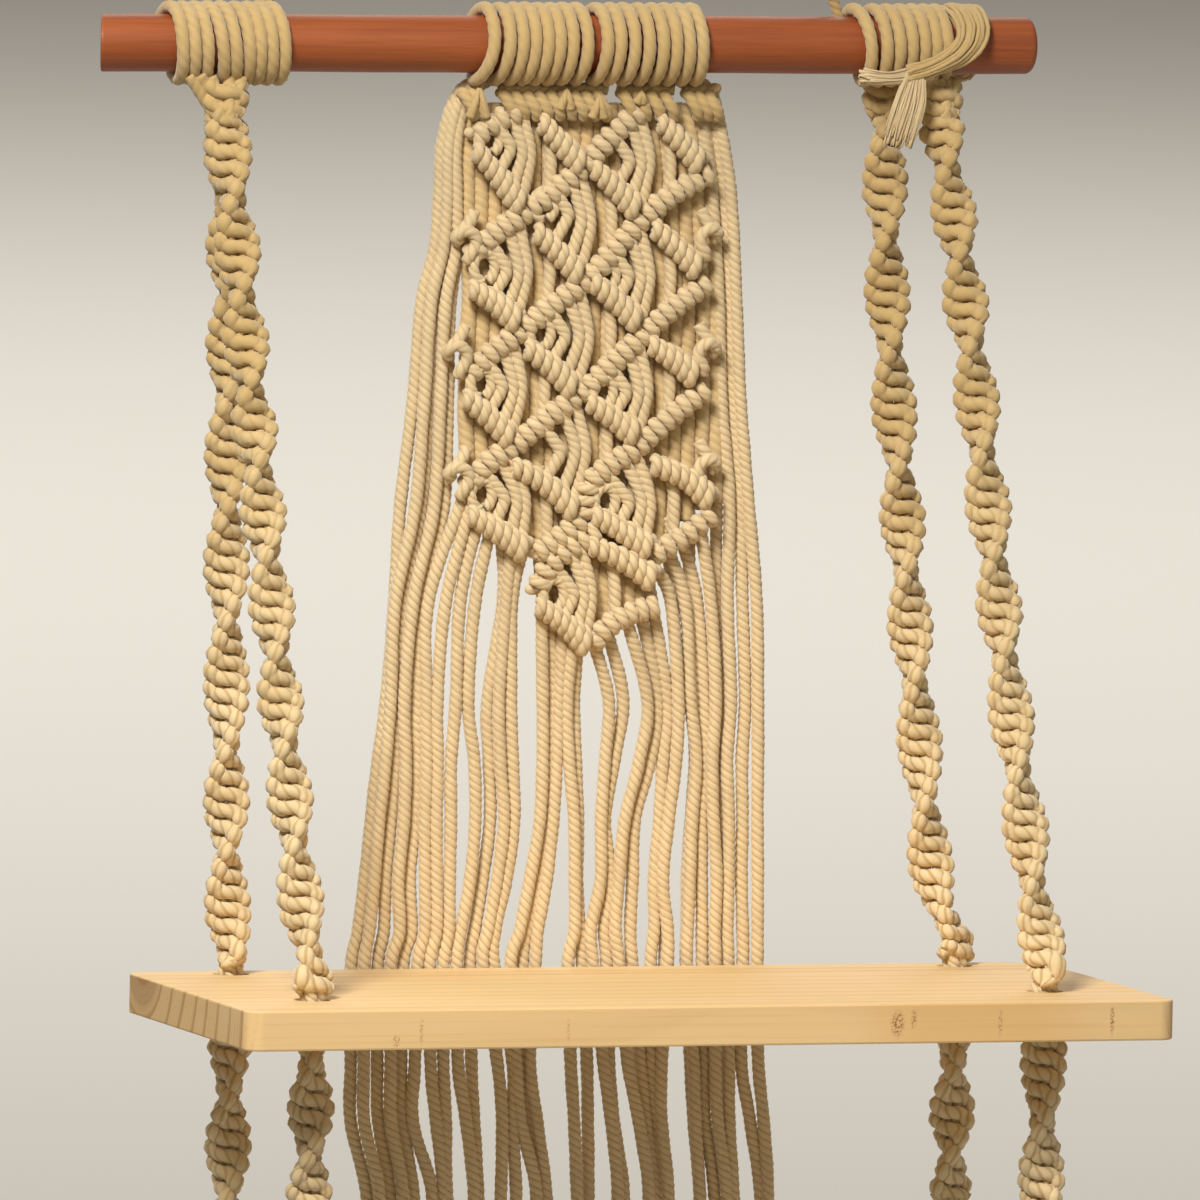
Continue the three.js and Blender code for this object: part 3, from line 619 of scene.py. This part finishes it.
# %% Carrying a chain along its line
def carry(line, turn_at, size_at):
    """The local down runs along the line; x and y are turned, by a function of the height, and
    scaled, by a function of the way along the line, and laid off on its two sides."""
    line = smooth(line, 2)
    run = along_line(line)
    side, other = carried_sides(line, (1, 0, 0))

    def move(points):
        s = np.clip(-points[:, 2], 0, run[-1])
        centre, across, out = (sampled(table, run, s) for table in (line, side, other))
        tangent = np.cross(across, out)
        turn, size = turn_at(centre[:, 2]), size_at(s)
        u = size * (points[:, 0] * np.cos(turn) - points[:, 1] * np.sin(turn))
        v = size * (points[:, 0] * np.sin(turn) + points[:, 1] * np.cos(turn))
        over = (-points[:, 2] - s)[:, None] * tangent
        return centre + across * u[:, None] + out * v[:, None] + over
    return move


BOARD_TOP, BOARD_UNDER, HEAD_DROP = -419.5, -437.5, 26.4
LEVELS = [-116, -211, -297, -380]
NECK_STEP, FIRST_TURN = 48, math.radians(110)
ropes = {
    "left_back": dict(head=(-160.5, 10.4), hole=(-157.6, -11), via=[-158.8, -159.8, -159.8, -159.6],
        necks=[-24, -73, -114, -161, -211, -261, -319, -365, -416, -475, -521]),
    "left_front": dict(head=(-166.8, -10.4), hole=(-157.6, -136), via=[-166, -163.6, -161.9, -159.4],
        necks=[-24, -71, -112, -153, -188, -227, -270, -310, -353, -398, -449, -489, -531]),
    "right_back": dict(head=(153, 10.4), hole=(187.6, -11), via=[154.5, 161.5, 168.5, 177],
        necks=[-39, -88, -139, -193, -240, -290, -346, -398, -468, -506]),
    "right_front": dict(head=(172.6, -10.4), hole=(187.6, -136), via=[177.1, 179.8, 182.4, 186.5],
        necks=[-16, -55, -95, -135, -182, -229, -272, -323, -373, -420, -480, -528]),
}


def rope_route(rope):
    """The head, the foot and the line between them, and the chain's turn as a function of height."""
    head, foot = np.array([*rope["head"], -HEAD_DROP]), np.array([*rope["hole"], BOARD_TOP])
    share = (np.array(LEVELS) - head[2]) / (foot[2] - head[2])
    via = [np.array([x, head[1] + (foot[1] - head[1]) * s, z]) for x, s, z in zip(rope["via"], share, LEVELS)]
    line = [head + (0, 0, -5), *via, foot + (0, 0, 13), foot + (0, 0, 3.5)]
    necks = np.array(rope["necks"], float)
    beyond = [necks[-1] - NECK_STEP, necks[-1] - 2 * NECK_STEP]
    table = np.concatenate([[necks[0] + NECK_STEP], necks, beyond])
    turns = FIRST_TURN + np.pi * (np.arange(len(table)) - 1)
    return head, foot, line, lambda z: np.interp(-z, -table, turns)


# %% [markdown]
# Each rope is five pieces, because they move apart: the head knot stays under the rail, the rope
# and its plain stem in the board's hole sway, and the tail and its end knot go with the board.
# Below the picture a rope ends in the usual way, in a knot and a short brush of cords.

# %% Rope pieces
STEM_RADIUS, STEM_CORD, STEM_TURN = 3.1, 2.9, 1.4
GATHERED = {"left": (-17.5, -12.5, -7, 2, 8), "right": (-8, -4, 0, 4, 8)}
HEAD_RISE, RIM = 8.4, 17.4
TAIL_LENGTH, END_KNOT_DROP, BRUSH = 90, 9.5, 12


def rope_piece(name, line, turn_at):
    length = along_line(smooth(line, 2))[-1]
    count = int(round(length / KNOT_PITCH))
    size_at = lambda s: (1 - 0.20 * np.clip(1 - s / 6, 0, 1)
                         + 0.10 * np.clip((s - length + 14) / 14, 0, 1))
    made = half_knots(count, length / count)
    cotton_piece(made, f"rope_{name}", f"{name}_rope_body", f"{name}_rope",
                 move=carry(line, turn_at, size_at))


def stem_piece(name, foot):
    """Four cords on a circle, which turn by a constant angle while they go down through the board."""
    made = Gather()
    height = np.linspace(BOARD_TOP + 6, BOARD_UNDER + 1, 6)
    for k in range(4):
        angle = math.radians(45 + 90 * k) + np.linspace(0, STEM_TURN, 6)
        x, y = foot[0] + STEM_RADIUS * np.cos(angle), foot[1] + STEM_RADIUS * np.sin(angle)
        cord(made, np.stack([x, y, height], axis=1), STEM_CORD, lay=13, step=1.6)
    cotton_piece(made, f"rope_stem_{name}", f"{name}_rope_body")


def head_piece(name, head):
    """Two half knots, and cords from the rail's underside into them; both are turned over in Y."""
    made = half_knots(2, KNOT_PITCH)
    top = head + (0, 0, HEAD_RISE)
    for k, offset in enumerate(GATHERED[name.split("_")[0]]):
        lean = math.sin(2 * np.pi * (k + 0.5) / 5)
        base = head + (0.36 * offset, 4 * lean, 0)
        rim = round_rail(head[0] + offset, 270 - math.copysign(34 + 6 * lean, -head[1]), RIM)
        path = [rim, 0.45 * rim + 0.55 * base + (0, 0, -1.5), base + (0, 0, -3.5), base + (0, 0, -9)]
        cord(made, (np.array(path) - top) * (1, -1, 1), 2.9, lay=14, step=1.4, depth=0.1)
    cotton_piece(made, f"rope_head_{name}", "rope_heads", f"{name}_head_knot",
                 move=lambda points: top + points * (1, -1, 1))


def tail_piece(name, foot, turn_at):
    count = int(round(TAIL_LENGTH / KNOT_PITCH))
    made = half_knots(count, TAIL_LENGTH / count)
    line = [(foot[0], foot[1], BOARD_UNDER - 0.5 - TAIL_LENGTH * q) for q in (0, 0.33, 0.66, 1)]
    size_at = lambda s: 1 - 0.10 * np.clip(1 - s / 8, 0, 1)
    cotton_piece(made, f"rope_tail_{name}", "board_body", f"{name}_rope_tail",
                 move=carry(line, turn_at, size_at))


def end_piece(name, foot):
    """A knot with a brush of cords in two circles, which pass up through it into the tail."""
    made = Gather()
    middle = (foot[0], foot[1], BOARD_UNDER - TAIL_LENGTH - END_KNOT_DROP)
    cord(made, knot_line(5.2, 3.6) + middle, 3.2, lay=13, step=1.2)
    for k in range(BRUSH):
        a = 2 * np.pi * k / BRUSH
        spread = (3.2 if k % 2 else 6) * np.array([0.8, 0.55, 0.8, 1.1])
        drop = np.array([11.5, 0, -15.5, -37.5 - rng.uniform(0, 1.5)])
        strand = np.stack([spread * math.cos(a), spread * math.sin(a), drop], axis=1)
        cord(made, middle + strand, 2.1, lay=11, step=2)
    cotton_piece(made, f"rope_end_{name}", "board_body", f"{name}_end_knot")


for name, rope in ropes.items():
    head, foot, line, turn_at = rope_route(rope)
    rope_piece(name, line, turn_at)
    stem_piece(name, foot)
    head_piece(name, head)
    tail_piece(name, foot, turn_at)
    end_piece(name, foot)

# %% [markdown]
# The rest of the net's cords hang as a long fringe. A simulation would let them fall anywhere, but
# the photograph shows where each one lies. So each cord has its own row of places across the panel,
# one for each listed height, and where cords are crowded they lie in two layers.

# %% Hanging cords
HEIGHTS = [-253, -298, -326, -353, -380, -403, -419, -463, -490, -522, -559]
BACK_AT = ([20, 45, 210, 255, 300, 346, 392, 419, 559], [5.2, 5.2, 5.4, 6, 7, 8, 8.6, 8.8, 8.8])
# Down from the head row, as z and x
UPPER_LEFT = [(-16.5, -44), (-24, -52.5), (-45, -58.5), (-70, -59), (-92, -60.5), (-118, -66.5),
              (-162, -70), (-210, -74.5)]
UPPER_RIGHT = [(-16.5, 60), (-24, 67), (-48, 73), (-71, 76.5), (-116, 80), (-162, 83), (-208, 87.5)]
RIGHT_SHIFTS = (-6.5, -0.5, 2.2)
# For each cord: the distance behind the front layer, and x at each of the heights
hanging = {
    "left_long_cords": [
        (4.5, [-76.5, -79.5, -83, -85.5, -88, -90, -93, -92.5, -92, -84.5, -84]),
        (0, [-77.5, -78.5, -80, -82.5, -85, -86.5, -89, -87.5, -87, -80, -79]),
        (4.5, [-72, -74.5, -74, -75.5, -77.5, -78, -80.5, -80, -79.5, -72.5, -72]),
        (0, [-69.5, -72, -71, -71.5, -73.5, -72.5, -76, -75.5, -74.5, -68, -68]),
        (4, [-63.5, -65, -64, -64.5, -66, -65.5, -68.5, -68.5, -67.5, -62, -61])],
    "fringe_left": [
        (1, [-62, -61.5, -60.5, -60.5, -60.5, -60, -63, -63, -63.5, -54, -53]),
        (0, [-53.5, -56.5, -55.5, -55.5, -55, -54.5, -57, -56.5, -53, -49, -49]),
        (0, [-47, -48, -49, -49, -48.5, -48.5, -50.5, -50, -48, -47.5, -43])],
    "fringe_middle_left": [
        (0, [-40, -41.5, -38, -37, -39, -42.5, -44.5, -43, -39, -34.5, -34]),
        (4, [-25.5, -31, -30.5, -29, -31.5, -35, -37, -35.5, -33.5, -31, -30]),
        (0, [-25, -27, -25.5, -24, -26, -30, -32, -24, -22, -22, -22]),
        (1, [-22, -21.5, -20, -18.5, -21, -26, -26.5, -17, -16.5, -14, -14])],
    "fringe_centre": [
        (0, [-9, -7, -5.5, -6, -10.5, -15, -18.5, -16, -12.5, -5, -5]),
        (3.5, [-1, -1, -1, -1, -5, -10, -12, -10.5, -7, -2, 0]),
        (1, [2, 2, 1.5, 0.5, -2.5, -5.5, -6.5, -8.5, -4.5, 0.5, 2]),
        (0, [5, 5, 7, 10, 11, 11.5, 8, 11, 13, 14.5, 16]),
        (3.5, [9.5, 9.5, 11.5, 12.5, 13.5, 15, 16, 19, 20, 21, 22])],
    "fringe_middle_right": [
        (0, [14, 24.5, 24.5, 23, 23.5, 19.5, 20.5, 26.5, 30, 34, 35]),
        (3, [28, 32.5, 29, 25.5, 29, 26, 27.5, 30, 33, 37.5, 39]),
        (0, [44, 43, 40.5, 34.5, 32.5, 31, 32.5, 38, 43.5, 48.5, 49]),
        (3.5, [47, 49, 46.5, 40.5, 39.5, 39, 40, 45, 48.5, 53, 54]),
        (3, [51.5, 54, 52.5, 51.5, 50, 50.5, 48.5, 50.5, 53, 56.5, 58]),
        (0, [53, 58, 57.5, 55, 52.5, 56, 56, 54.5, 55, 58.5, 60]),
        (6, [56.5, 60, 58.5, 56, 53.5, 56.5, 56.5, 55, 55.5, 59, 61])],
    "fringe_right": [
        (2, [60.5, 64.5, 68.5, 67, 66.5, 66, 66.5, 69.5, 71, 74.5, 76]),
        (4.5, [67.5, 72, 73, 72.5, 73.5, 73.5, 74, 75.5, 77, 81.5, 83]),
        (0, [73, 76.5, 75.5, 77, 78.5, 78.5, 79, 80, 81.5, 86, 88]),
        (6, [64, 67.5, 69, 67.5, 67, 66.5, 67, 70, 71.5, 75, 77]),
        (6, [77, 80.5, 81, 82.5, 84.5, 85, 85.5, 86.5, 87, 89.5, 92])],
    "right_long_cords": [
        (1, [81, 83.5, 83, 84, 85, 85, 85.5, 86.5, 87, 89.5, 92]),
        (3, [88.5, 91.5, 90.5, 91.5, 92, 92.5, 93, 93.5, 98, 103, 104]),
        (0, [95, 96.5, 97, 97.5, 98, 98.5, 99, 100, 103.5, 106, 107])],
}
# Where each fringe cord leaves the net, as x and z
STARTS = {
    "fringe_left": [(-47, -203), (-44, -209), (-40, -213)],
    "fringe_middle_left": [(-34, -218), (-28, -221), (-23, -224), (-18, -228)],
    "fringe_centre": [(-9, -255), (-4, -258), (2, -262), (6, -265), (10, -269)],
    "fringe_middle_right": [(16, -270), (23, -265), (31, -259), (39, -256), (42, -244), (43, -236),
                            (50, -215)],
    "fringe_right": [(49, -225), (57, -221), (65, -215), (62, -207), (75, -199)],
}
FRINGE_CORD, TUCK, CLEAR = 3.1, 3.5, 14
for name, rows in hanging.items():
    made = Gather()
    for k, (layer, xs) in enumerate(rows):
        points = list(zip(xs, HEIGHTS))
        if name == "left_long_cords":
            points = [(x + 1.5 * k - 0.018 * k * (z + 21), z) for z, x in UPPER_LEFT] + points
        elif name == "right_long_cords":
            points = [(x + RIGHT_SHIFTS[k], z) for z, x in UPPER_RIGHT] + points
        else:
            top = STARTS[name][k]
            points = [top] + [p for p in points if p[1] < top[1] - CLEAR]
        x, z = np.array(points, float).T
        z[-1] += rng.uniform(0, 6)
        y = np.interp(-z, *BACK_AT) + layer * np.clip((-z - 20) / 40, 0.3, 1)
        if name in STARTS:
            y[0] -= TUCK
        x = x + rng.uniform(-0.5, 0.5, len(x))
        line = smooth(np.stack([x, y, z], axis=1), 1.4)
        cord(made, line, FRINGE_CORD, lay=10.5, depth=0.13, start=rng.uniform(0, 6), ready=True)
    cotton_piece(made, f"cord_{name}", "net_panel", name, finish=COTTON)

# %% [markdown]
# Behind the net more cords hang side by side as a close curtain. One sheet would be lighter, but its
# edges would look cut from card. Every cord keeps its share of the width between the listed edges,
# and ends where the net hides it.

# %% Curtain
# Rows of z, left edge, right edge and distance behind the net
CURTAIN = np.array([(-27, -48, 66, 7.4), (-60, -50, 72, 7.8), (-85, -50, 74, 7.8), (-110, -47.5, 76, 7.8),
                    (-162, -48.5, 77, 7.8), (-210, -46.5, 77, 7.8), (-255, -36, 70, 8.4), (-288, 0, 55, 9.5)])
ENDS_AT = ([0, 0.12, 0.26, 0.275, 0.36, 0.5, 0.62, 0.66, 0.715, 0.75, 0.92, 1],
           [-203, -214, -226, -254, -259, -264, -259, -260, -254, -229, -212, -208])
CURTAIN_CORDS, CURTAIN_CORD = 19, 3.9
made = Gather()
for k in range(CURTAIN_CORDS):
    share = (k + 0.5) / CURTAIN_CORDS
    z = np.linspace(CURTAIN[0, 0], np.interp(share, *ENDS_AT), 18)
    left_edge, right_edge, y = (np.interp(-z, -CURTAIN[:, 0], CURTAIN[:, c]) for c in (1, 2, 3))
    wave = 0.4 * np.sin(z / rng.uniform(17, 30) + rng.uniform(0, 6))
    x = left_edge + (right_edge - left_edge) * share + wave
    cord(made, np.stack([x, y, z], axis=1), CURTAIN_CORD, lay=12, depth=0.09, start=k, step=1.8)
# The curtain's cotton is darker and browner: painted shade behind the net.
curtain = cotton_piece(made, "cord_back_cords", "net_panel", "back_cords", finish=COTTON_BACK_SHADED)

# %% [markdown]
# The net is knotted with diagonal bars, whose cords are hitched over a hidden leader, so a bar shows
# a row of lobes. Only the lobes show at this size. So a bar is one coil instead of ten hitches: each
# turn comes down over the front at rest, as a lobe, and moves on while it goes up behind.


# %% Net bars
def bar(made, ends, lobes, lift, reach, tube, upright, depth, front, seed):
    """A coil along a line: lift * cos upwards and depth * sin to the front. The lobes stand upright, or
    square to the bar, or between the two."""
    wander = np.random.default_rng(seed)
    line = smooth([(x, 0, z) for x, z in ends], 0.5)
    run = along_line(line)
    t = np.arange(0, lobes + 0.001, 1 / 26)
    phase = 2 * np.pi * t
    share = np.clip((t + reach * np.cos(phase)) / lobes, 0, 1)
    centre, along = (sampled(table, run, share * run[-1]) for table in (line, np.gradient(line, axis=0)))
    along /= np.linalg.norm(along, axis=1)[:, None]
    square = along[:, [2, 1, 0]] * (-1, 1, 1)
    square *= np.sign(square[:, 2])[:, None]
    stand = (1 - upright) * square + (0, 0, upright)
    size = np.interp(t, np.arange(lobes + 2), 1 + 0.10 * wander.uniform(-1, 1, lobes + 2))
    up_down = (lift[0] + (lift[1] - lift[0]) * share) * size * np.cos(phase)
    points = centre + stand * up_down[:, None]
    points[:, 1] += front - depth * size * np.sin(phase)
    points = smooth(points, 1.1)
    cord(made, points, np.linspace(*tube, len(points)), lay=13.5, ready=True, start=seed, depth=0.12)
    cord(made, line[::8] + (0, front + 0.3, 0), min(lift) * 0.8, lay=13, step=3, depth=0.1, sides=10)


# The number of lobes, and the places that the bar passes, as x and z
STEEP = [
    (7, [(-46, -48), (-35.5, -59), (-23.5, -73.5)]), (6, [(-15, -35), (-5, -45), (5, -55)]),
    (6, [(10.5, -56), (22, -66), (31.5, -75)]), (6, [(41.5, -35), (52.5, -45), (61.5, -55)]),
    (6, [(-16.5, -85), (-5, -95), (5, -105)]), (6, [(39.5, -83), (51.5, -93), (61.5, -102.5)]),
    (6, [(-47, -110.5), (-35, -117), (-24.5, -126)]), (6, [(11, -107.5), (23, -117), (33, -126)]),
    (6, [(-20, -137.5), (-7.5, -146.5), (3, -156.5)]), (6, [(39, -136), (50.5, -143), (61, -150.5)]),
    (6, [(-49, -160), (-37.5, -168.5), (-26.5, -179)]), (6, [(10, -162), (22, -169.5), (33, -177.5)]),
    (7, [(-25, -191), (-9.5, -199.5), (5, -212)]), (7, [(41, -190.5), (57.5, -197), (69.5, -207)]),
    (7, [(-45.5, -213), (-32.5, -220.5), (-18.5, -229.5)]), (7, [(13.5, -213.5), (27.5, -221), (40.5, -229)]),
    (7, [(12, -227), (27.5, -233.5), (43, -243)]), (7, [(-12.5, -254.5), (-0.5, -262), (12, -273)]),
]
SLANTED = [
    [(-26.5, -30.5), (-37, -35.5), (-46.5, -42.5)],
    [(31.5, -30.5), (19, -41.5), (7, -54.5), (-7, -66), (-21, -76), (-34, -84.5), (-46.5, -95)],
    [(66, -58.5), (50, -67), (35.5, -78), (22, -92.5), (8, -107), (-7.5, -118), (-23.5, -130.5),
     (-36, -139.5), (-47.5, -151)],
    [(66, -108.5), (51, -118.5), (36.5, -131), (21.5, -144.5), (7, -158), (-9, -169.5), (-25, -182),
     (-37, -190), (-46.5, -200)],
    [(66, -157), (51, -167.5), (35.5, -181.5), (21, -191), (11.5, -199.5), (8, -215), (-4, -225),
     (-14.5, -232)],
    [(15, -221), (2.5, -228.5), (-7.5, -237.5), (-13, -248.5)],
    [(70, -213.5), (60, -221.5), (49.5, -228), (41, -233)],
    [(44, -255), (29.5, -259.5), (19.5, -266), (13, -274)],
]
STEEP_STYLE = dict(lift=(2.7, 4.3), reach=0.10, tube=(2.5, 3.2), upright=0.6, depth=3.2, front=-1.8)
SLANTED_STYLE = dict(lift=(3.2, 3.2), reach=0.22, tube=(2.6, 2.6), upright=0, depth=2.2, front=-0.6)
LOBE_STEP = 5.4
made = Gather()
for k, (lobes, row) in enumerate(STEEP):
    bar(made, row, lobes, seed=k, **STEEP_STYLE)
for k, row in enumerate(SLANTED):
    run = sum(math.dist(a, b) for a, b in zip(row[:-1], row[1:]))
    bar(made, row, max(3, int(round(run / LOBE_STEP))), seed=40 + k, **SLANTED_STYLE)
print(f"{len(STEEP)} steep bars and {len(SLANTED)} slanted ones")

# %% [markdown]
# Between the bars the cords hang in shallow bows: in each cell three at the left and a short one at
# the right. Most cells have a small ring too. A bow is a line through five points, whose ends lie
# hidden in the bars.

# %% Cords in the cells
# Corners of each cell: top, left, right and low, as x and z
CELLS = [
    ((7.5, -54.5), (-21, -73.5), (36, -77.5), (8.5, -106)),
    ((-21.5, -25.5), (-47, -43.5), (6.5, -56), (-21, -75)),
    ((35, -27), (9, -52.5), (64, -58), (36, -77.5)),
    ((-21, -75), (-49, -101.5), (8.5, -106), (-23, -129.5)),
    ((36, -77.5), (9, -105), (65, -107), (37, -130.5)),
    ((8.5, -106), (-22, -131.5), (37, -130.5), (7.5, -157.5)),
    ((-23, -129.5), (-49.5, -154), (7.5, -157.5), (-24.5, -181.5)),
    ((37, -130.5), (8.5, -158), (66, -154), (36, -181)),
    ((7.5, -157.5), (-24.5, -185), (36, -181), (7.5, -209)),
    ((-24.5, -181.5), (-48, -204.5), (7.5, -211.5), (-17, -232)),
    ((36, -181), (10, -208), (70.5, -209.5), (41, -232.5)),
    ((8.5, -220.5), (-13, -250), (43.5, -248), (13.5, -275)),
]
# The side corner of each bow, its ends' shares of the way from there to top and low, bulge, way back
BOWS = [("left", 0.40, 0.46, 0.26, 0.2), ("left", 0.68, 0.72, 0.22, 0.8), ("left", 0.86, 0.90, 0.19, 1.2),
        ("right", 0.60, 0.58, 0.05, 3.6)]
RINGLESS = (2, 8)
for n, corners in enumerate(CELLS):
    top, left, right, low = (np.array(corner, float) for corner in corners)
    half = 0.5 * (right[0] - left[0])
    for m, (side, up_share, down_share, bow, back) in enumerate(BOWS):
        corner = left if side == "left" else right
        begin, end = corner + (top - corner) * up_share, corner + (low - corner) * down_share
        middle = (begin + end) / 2 + (bow * half, 0)
        above, below = begin * 0.35 + middle * 0.65, end * 0.35 + middle * 0.65
        points = [(begin[0], back, begin[1] + 1.5), (above[0], back - 0.8, (begin[1] + middle[1]) / 2),
                  (middle[0], back - 1.2, middle[1]), (below[0], back - 0.8, (end[1] + middle[1]) / 2),
                  (end[0], back, end[1] - 1.5)]
        cord(made, points, 2.95, lay=11, step=1.1, start=n + m, depth=0.13)
    if n not in RINGLESS:
        t = np.linspace(-1.2, 2 * np.pi - 1.7, 16)
        centre = left + (0.30 * half, 0.5)
        ring = [centre[0] + 5.2 * np.cos(t), -0.6 + 0.8 * np.cos(t), centre[1] + 6.6 * np.sin(t)]
        cord(made, np.stack(ring, axis=1), 2.6, lay=11, step=1.1, start=n)
print(f"{len(CELLS)} cells, {len(CELLS) - len(RINGLESS)} of them with a ring")

# %% [markdown]
# At the sides the outermost cords turn back into the net in a small knot, of which a lobe and a cord
# that curves round it show. Both are listed once, for the left, and turned over for the right.

# %% Side knots
SIDES = [(-49.5, -87), (-53, -139), (-51, -194), (66, -86), (66, -138), (67, -191)]
SIDE_WIDE, SIDE_TALL = 0.72, 0.80
LOBE = [(5.5, -1, 14), (1.5, -2.2, 7.5), (-4.5, -2.6, 2), (-6.5, -0.8, -0.5), (-3.5, 1.2, -3.5)]
CURVE = [(-6, -1.5, 0.5), (-1, -4, 3.5), (5, -3.6, 0.5), (6, -3, -5), (2.5, -2.4, -10.5),
         (1.5, -0.5, -14)]
for n, (x, z) in enumerate(SIDES):
    inwards = 1 if x < 0 else -1
    for shape in (LOBE, CURVE):
        line = [(x + SIDE_WIDE * inwards * dx, y, z + SIDE_TALL * dz) for dx, y, dz in shape]
        cord(made, line, 2.9, lay=12, step=1.1, start=n, depth=0.12)
net = cotton_piece(made, "net_bars", "net_panel", "net", finish=COTTON)

# %% [markdown]
# Under the centre winding a row of hitches hangs from a carrying cord, and pale loops point up in
# front of it. A hitch is listed once and repeated; a loop is a cord that thins at its tip.

# %% Head row
STRETCHES = [(-49, -44.5), (-30.5, 14), (26.5, 46), (57.5, 67)]
HITCH = [(-2.8, 2.4, -22.2), (-2.4, -0.6, -22.6), (-0.6, -2.4, -26), (1.8, -2.2, -30), (3, 0.6, -33.5)]
HITCH_STEP = 5.6
# Each loop: x, height of its tip and height of its feet
LOOPS = [(-45.5, -20, -33), (-4, -20.5, -29), (11.5, -24, -33), (31.5, -21.5, -26)]
made = Gather()
for x0, x1 in STRETCHES[1:]:
    x = np.linspace(x0 - 4, x1 + 3, 8)
    carrier = np.stack([x, 1 + 0.4 * np.sin(x), -20.4 + 0.5 * np.sin(x / 5)], axis=1)
    cord(made, carrier, 2.7, lay=13, step=1.3)
for x0, x1 in STRETCHES:
    count = int(round((x1 - x0) / HITCH_STEP))
    for k, x in enumerate(np.linspace(x0, x1, count + 1)):
        cord(made, np.add(HITCH, (x, 0, 0)), 2.75, lay=12, step=1.2, start=k, depth=0.12)
for x, tip, feet in LOOPS:
    half, shoulder = 0.30 * (tip - feet), 0.55 * tip + 0.45 * feet
    points = [(x - half, -3.6, feet), (x - 0.45 * half, -5.2, shoulder), (x, -4.8, tip),
              (x + 0.45 * half, -5.2, shoulder), (x + half, -3.6, feet)]
    line = smooth(points, 0.9)
    taper = np.interp(np.linspace(-1, 1, len(line)), [-1, 0, 1], [2.3, 1, 2.3])
    cord(made, line, taper, lay=12, ready=True, depth=0.1)
# The head row takes the darker cotton: painted shadow under the centre winding.
head_row = cotton_piece(made, "net_head_row", "net_panel", "panel_head_row")

# %% [markdown]
# The background is a wide pale floor that the camera looks down on, because a wall close behind
# would catch a shadow. The key lamp stands at the upper left, a weak one at the right, and the third
# lights only the floor far behind.

# %% Floor and light
FLOOR_HALF, FLOOR_Z = 34, -1.3
LAMP_COLOUR = (1, 0.97, 0.92)
scene = bpy.context.scene
scene.view_settings.view_transform = "Standard"
world = bpy.data.worlds.new("world")
scene.world = world
world.use_nodes = True
background = world.node_tree.nodes["Background"].inputs
background["Color"].default_value = rgb(1, 0.92, 0.78)
background["Strength"].default_value = 0.22

corners = [(x * FLOOR_HALF, y * FLOOR_HALF, FLOOR_Z) for x, y in ((-1, -1), (1, -1), (1, 1), (-1, 1))]
floor_mesh = bpy.data.meshes.new("floor")
floor_mesh.from_pydata(corners, [], [(0, 1, 2, 3)])
floor = bpy.data.objects.new("floor", floor_mesh)
scene.collection.objects.link(floor)
floor_finish, shader, start = material("floor_pale", 0.9)
shader.inputs["Base Color"].default_value = rgb(0.78, 0.76, 0.72)
floor_mesh.materials.append(floor_finish)


def lamp(name, place, aim, power, size, spread=180):
    """A square area lamp that faces a point; a spread under 180 degrees narrows its beam."""
    data = bpy.data.lights.new(name, "AREA")
    data.energy, data.size, data.color, data.spread = power, size, LAMP_COLOUR, math.radians(spread)
    back = np.array(place) - aim
    back /= np.linalg.norm(back)
    across = np.cross((0, 0, 1), back)
    across /= np.linalg.norm(across)
    made = bpy.data.objects.new(name, data)
    made.matrix_world = pose_matrix(across, np.cross(back, across), back, place)
    scene.collection.objects.link(made)
    return made


lamps = [lamp("lamp_key", (-0.95, -1.40, 1.10), (0.12, 0, -0.62), 7.4, 0.6, spread=62),
         lamp("lamp_fill", (1.5, -1.7, 0.3), (0, 0, -0.3), 3, 1.2),
         lamp("lamp_floor", (3, 14, 8), (3, 14.01, 0), 1300, 14)]
print(f"a floor of {2 * FLOOR_HALF} metres and {len(lamps)} lamps")
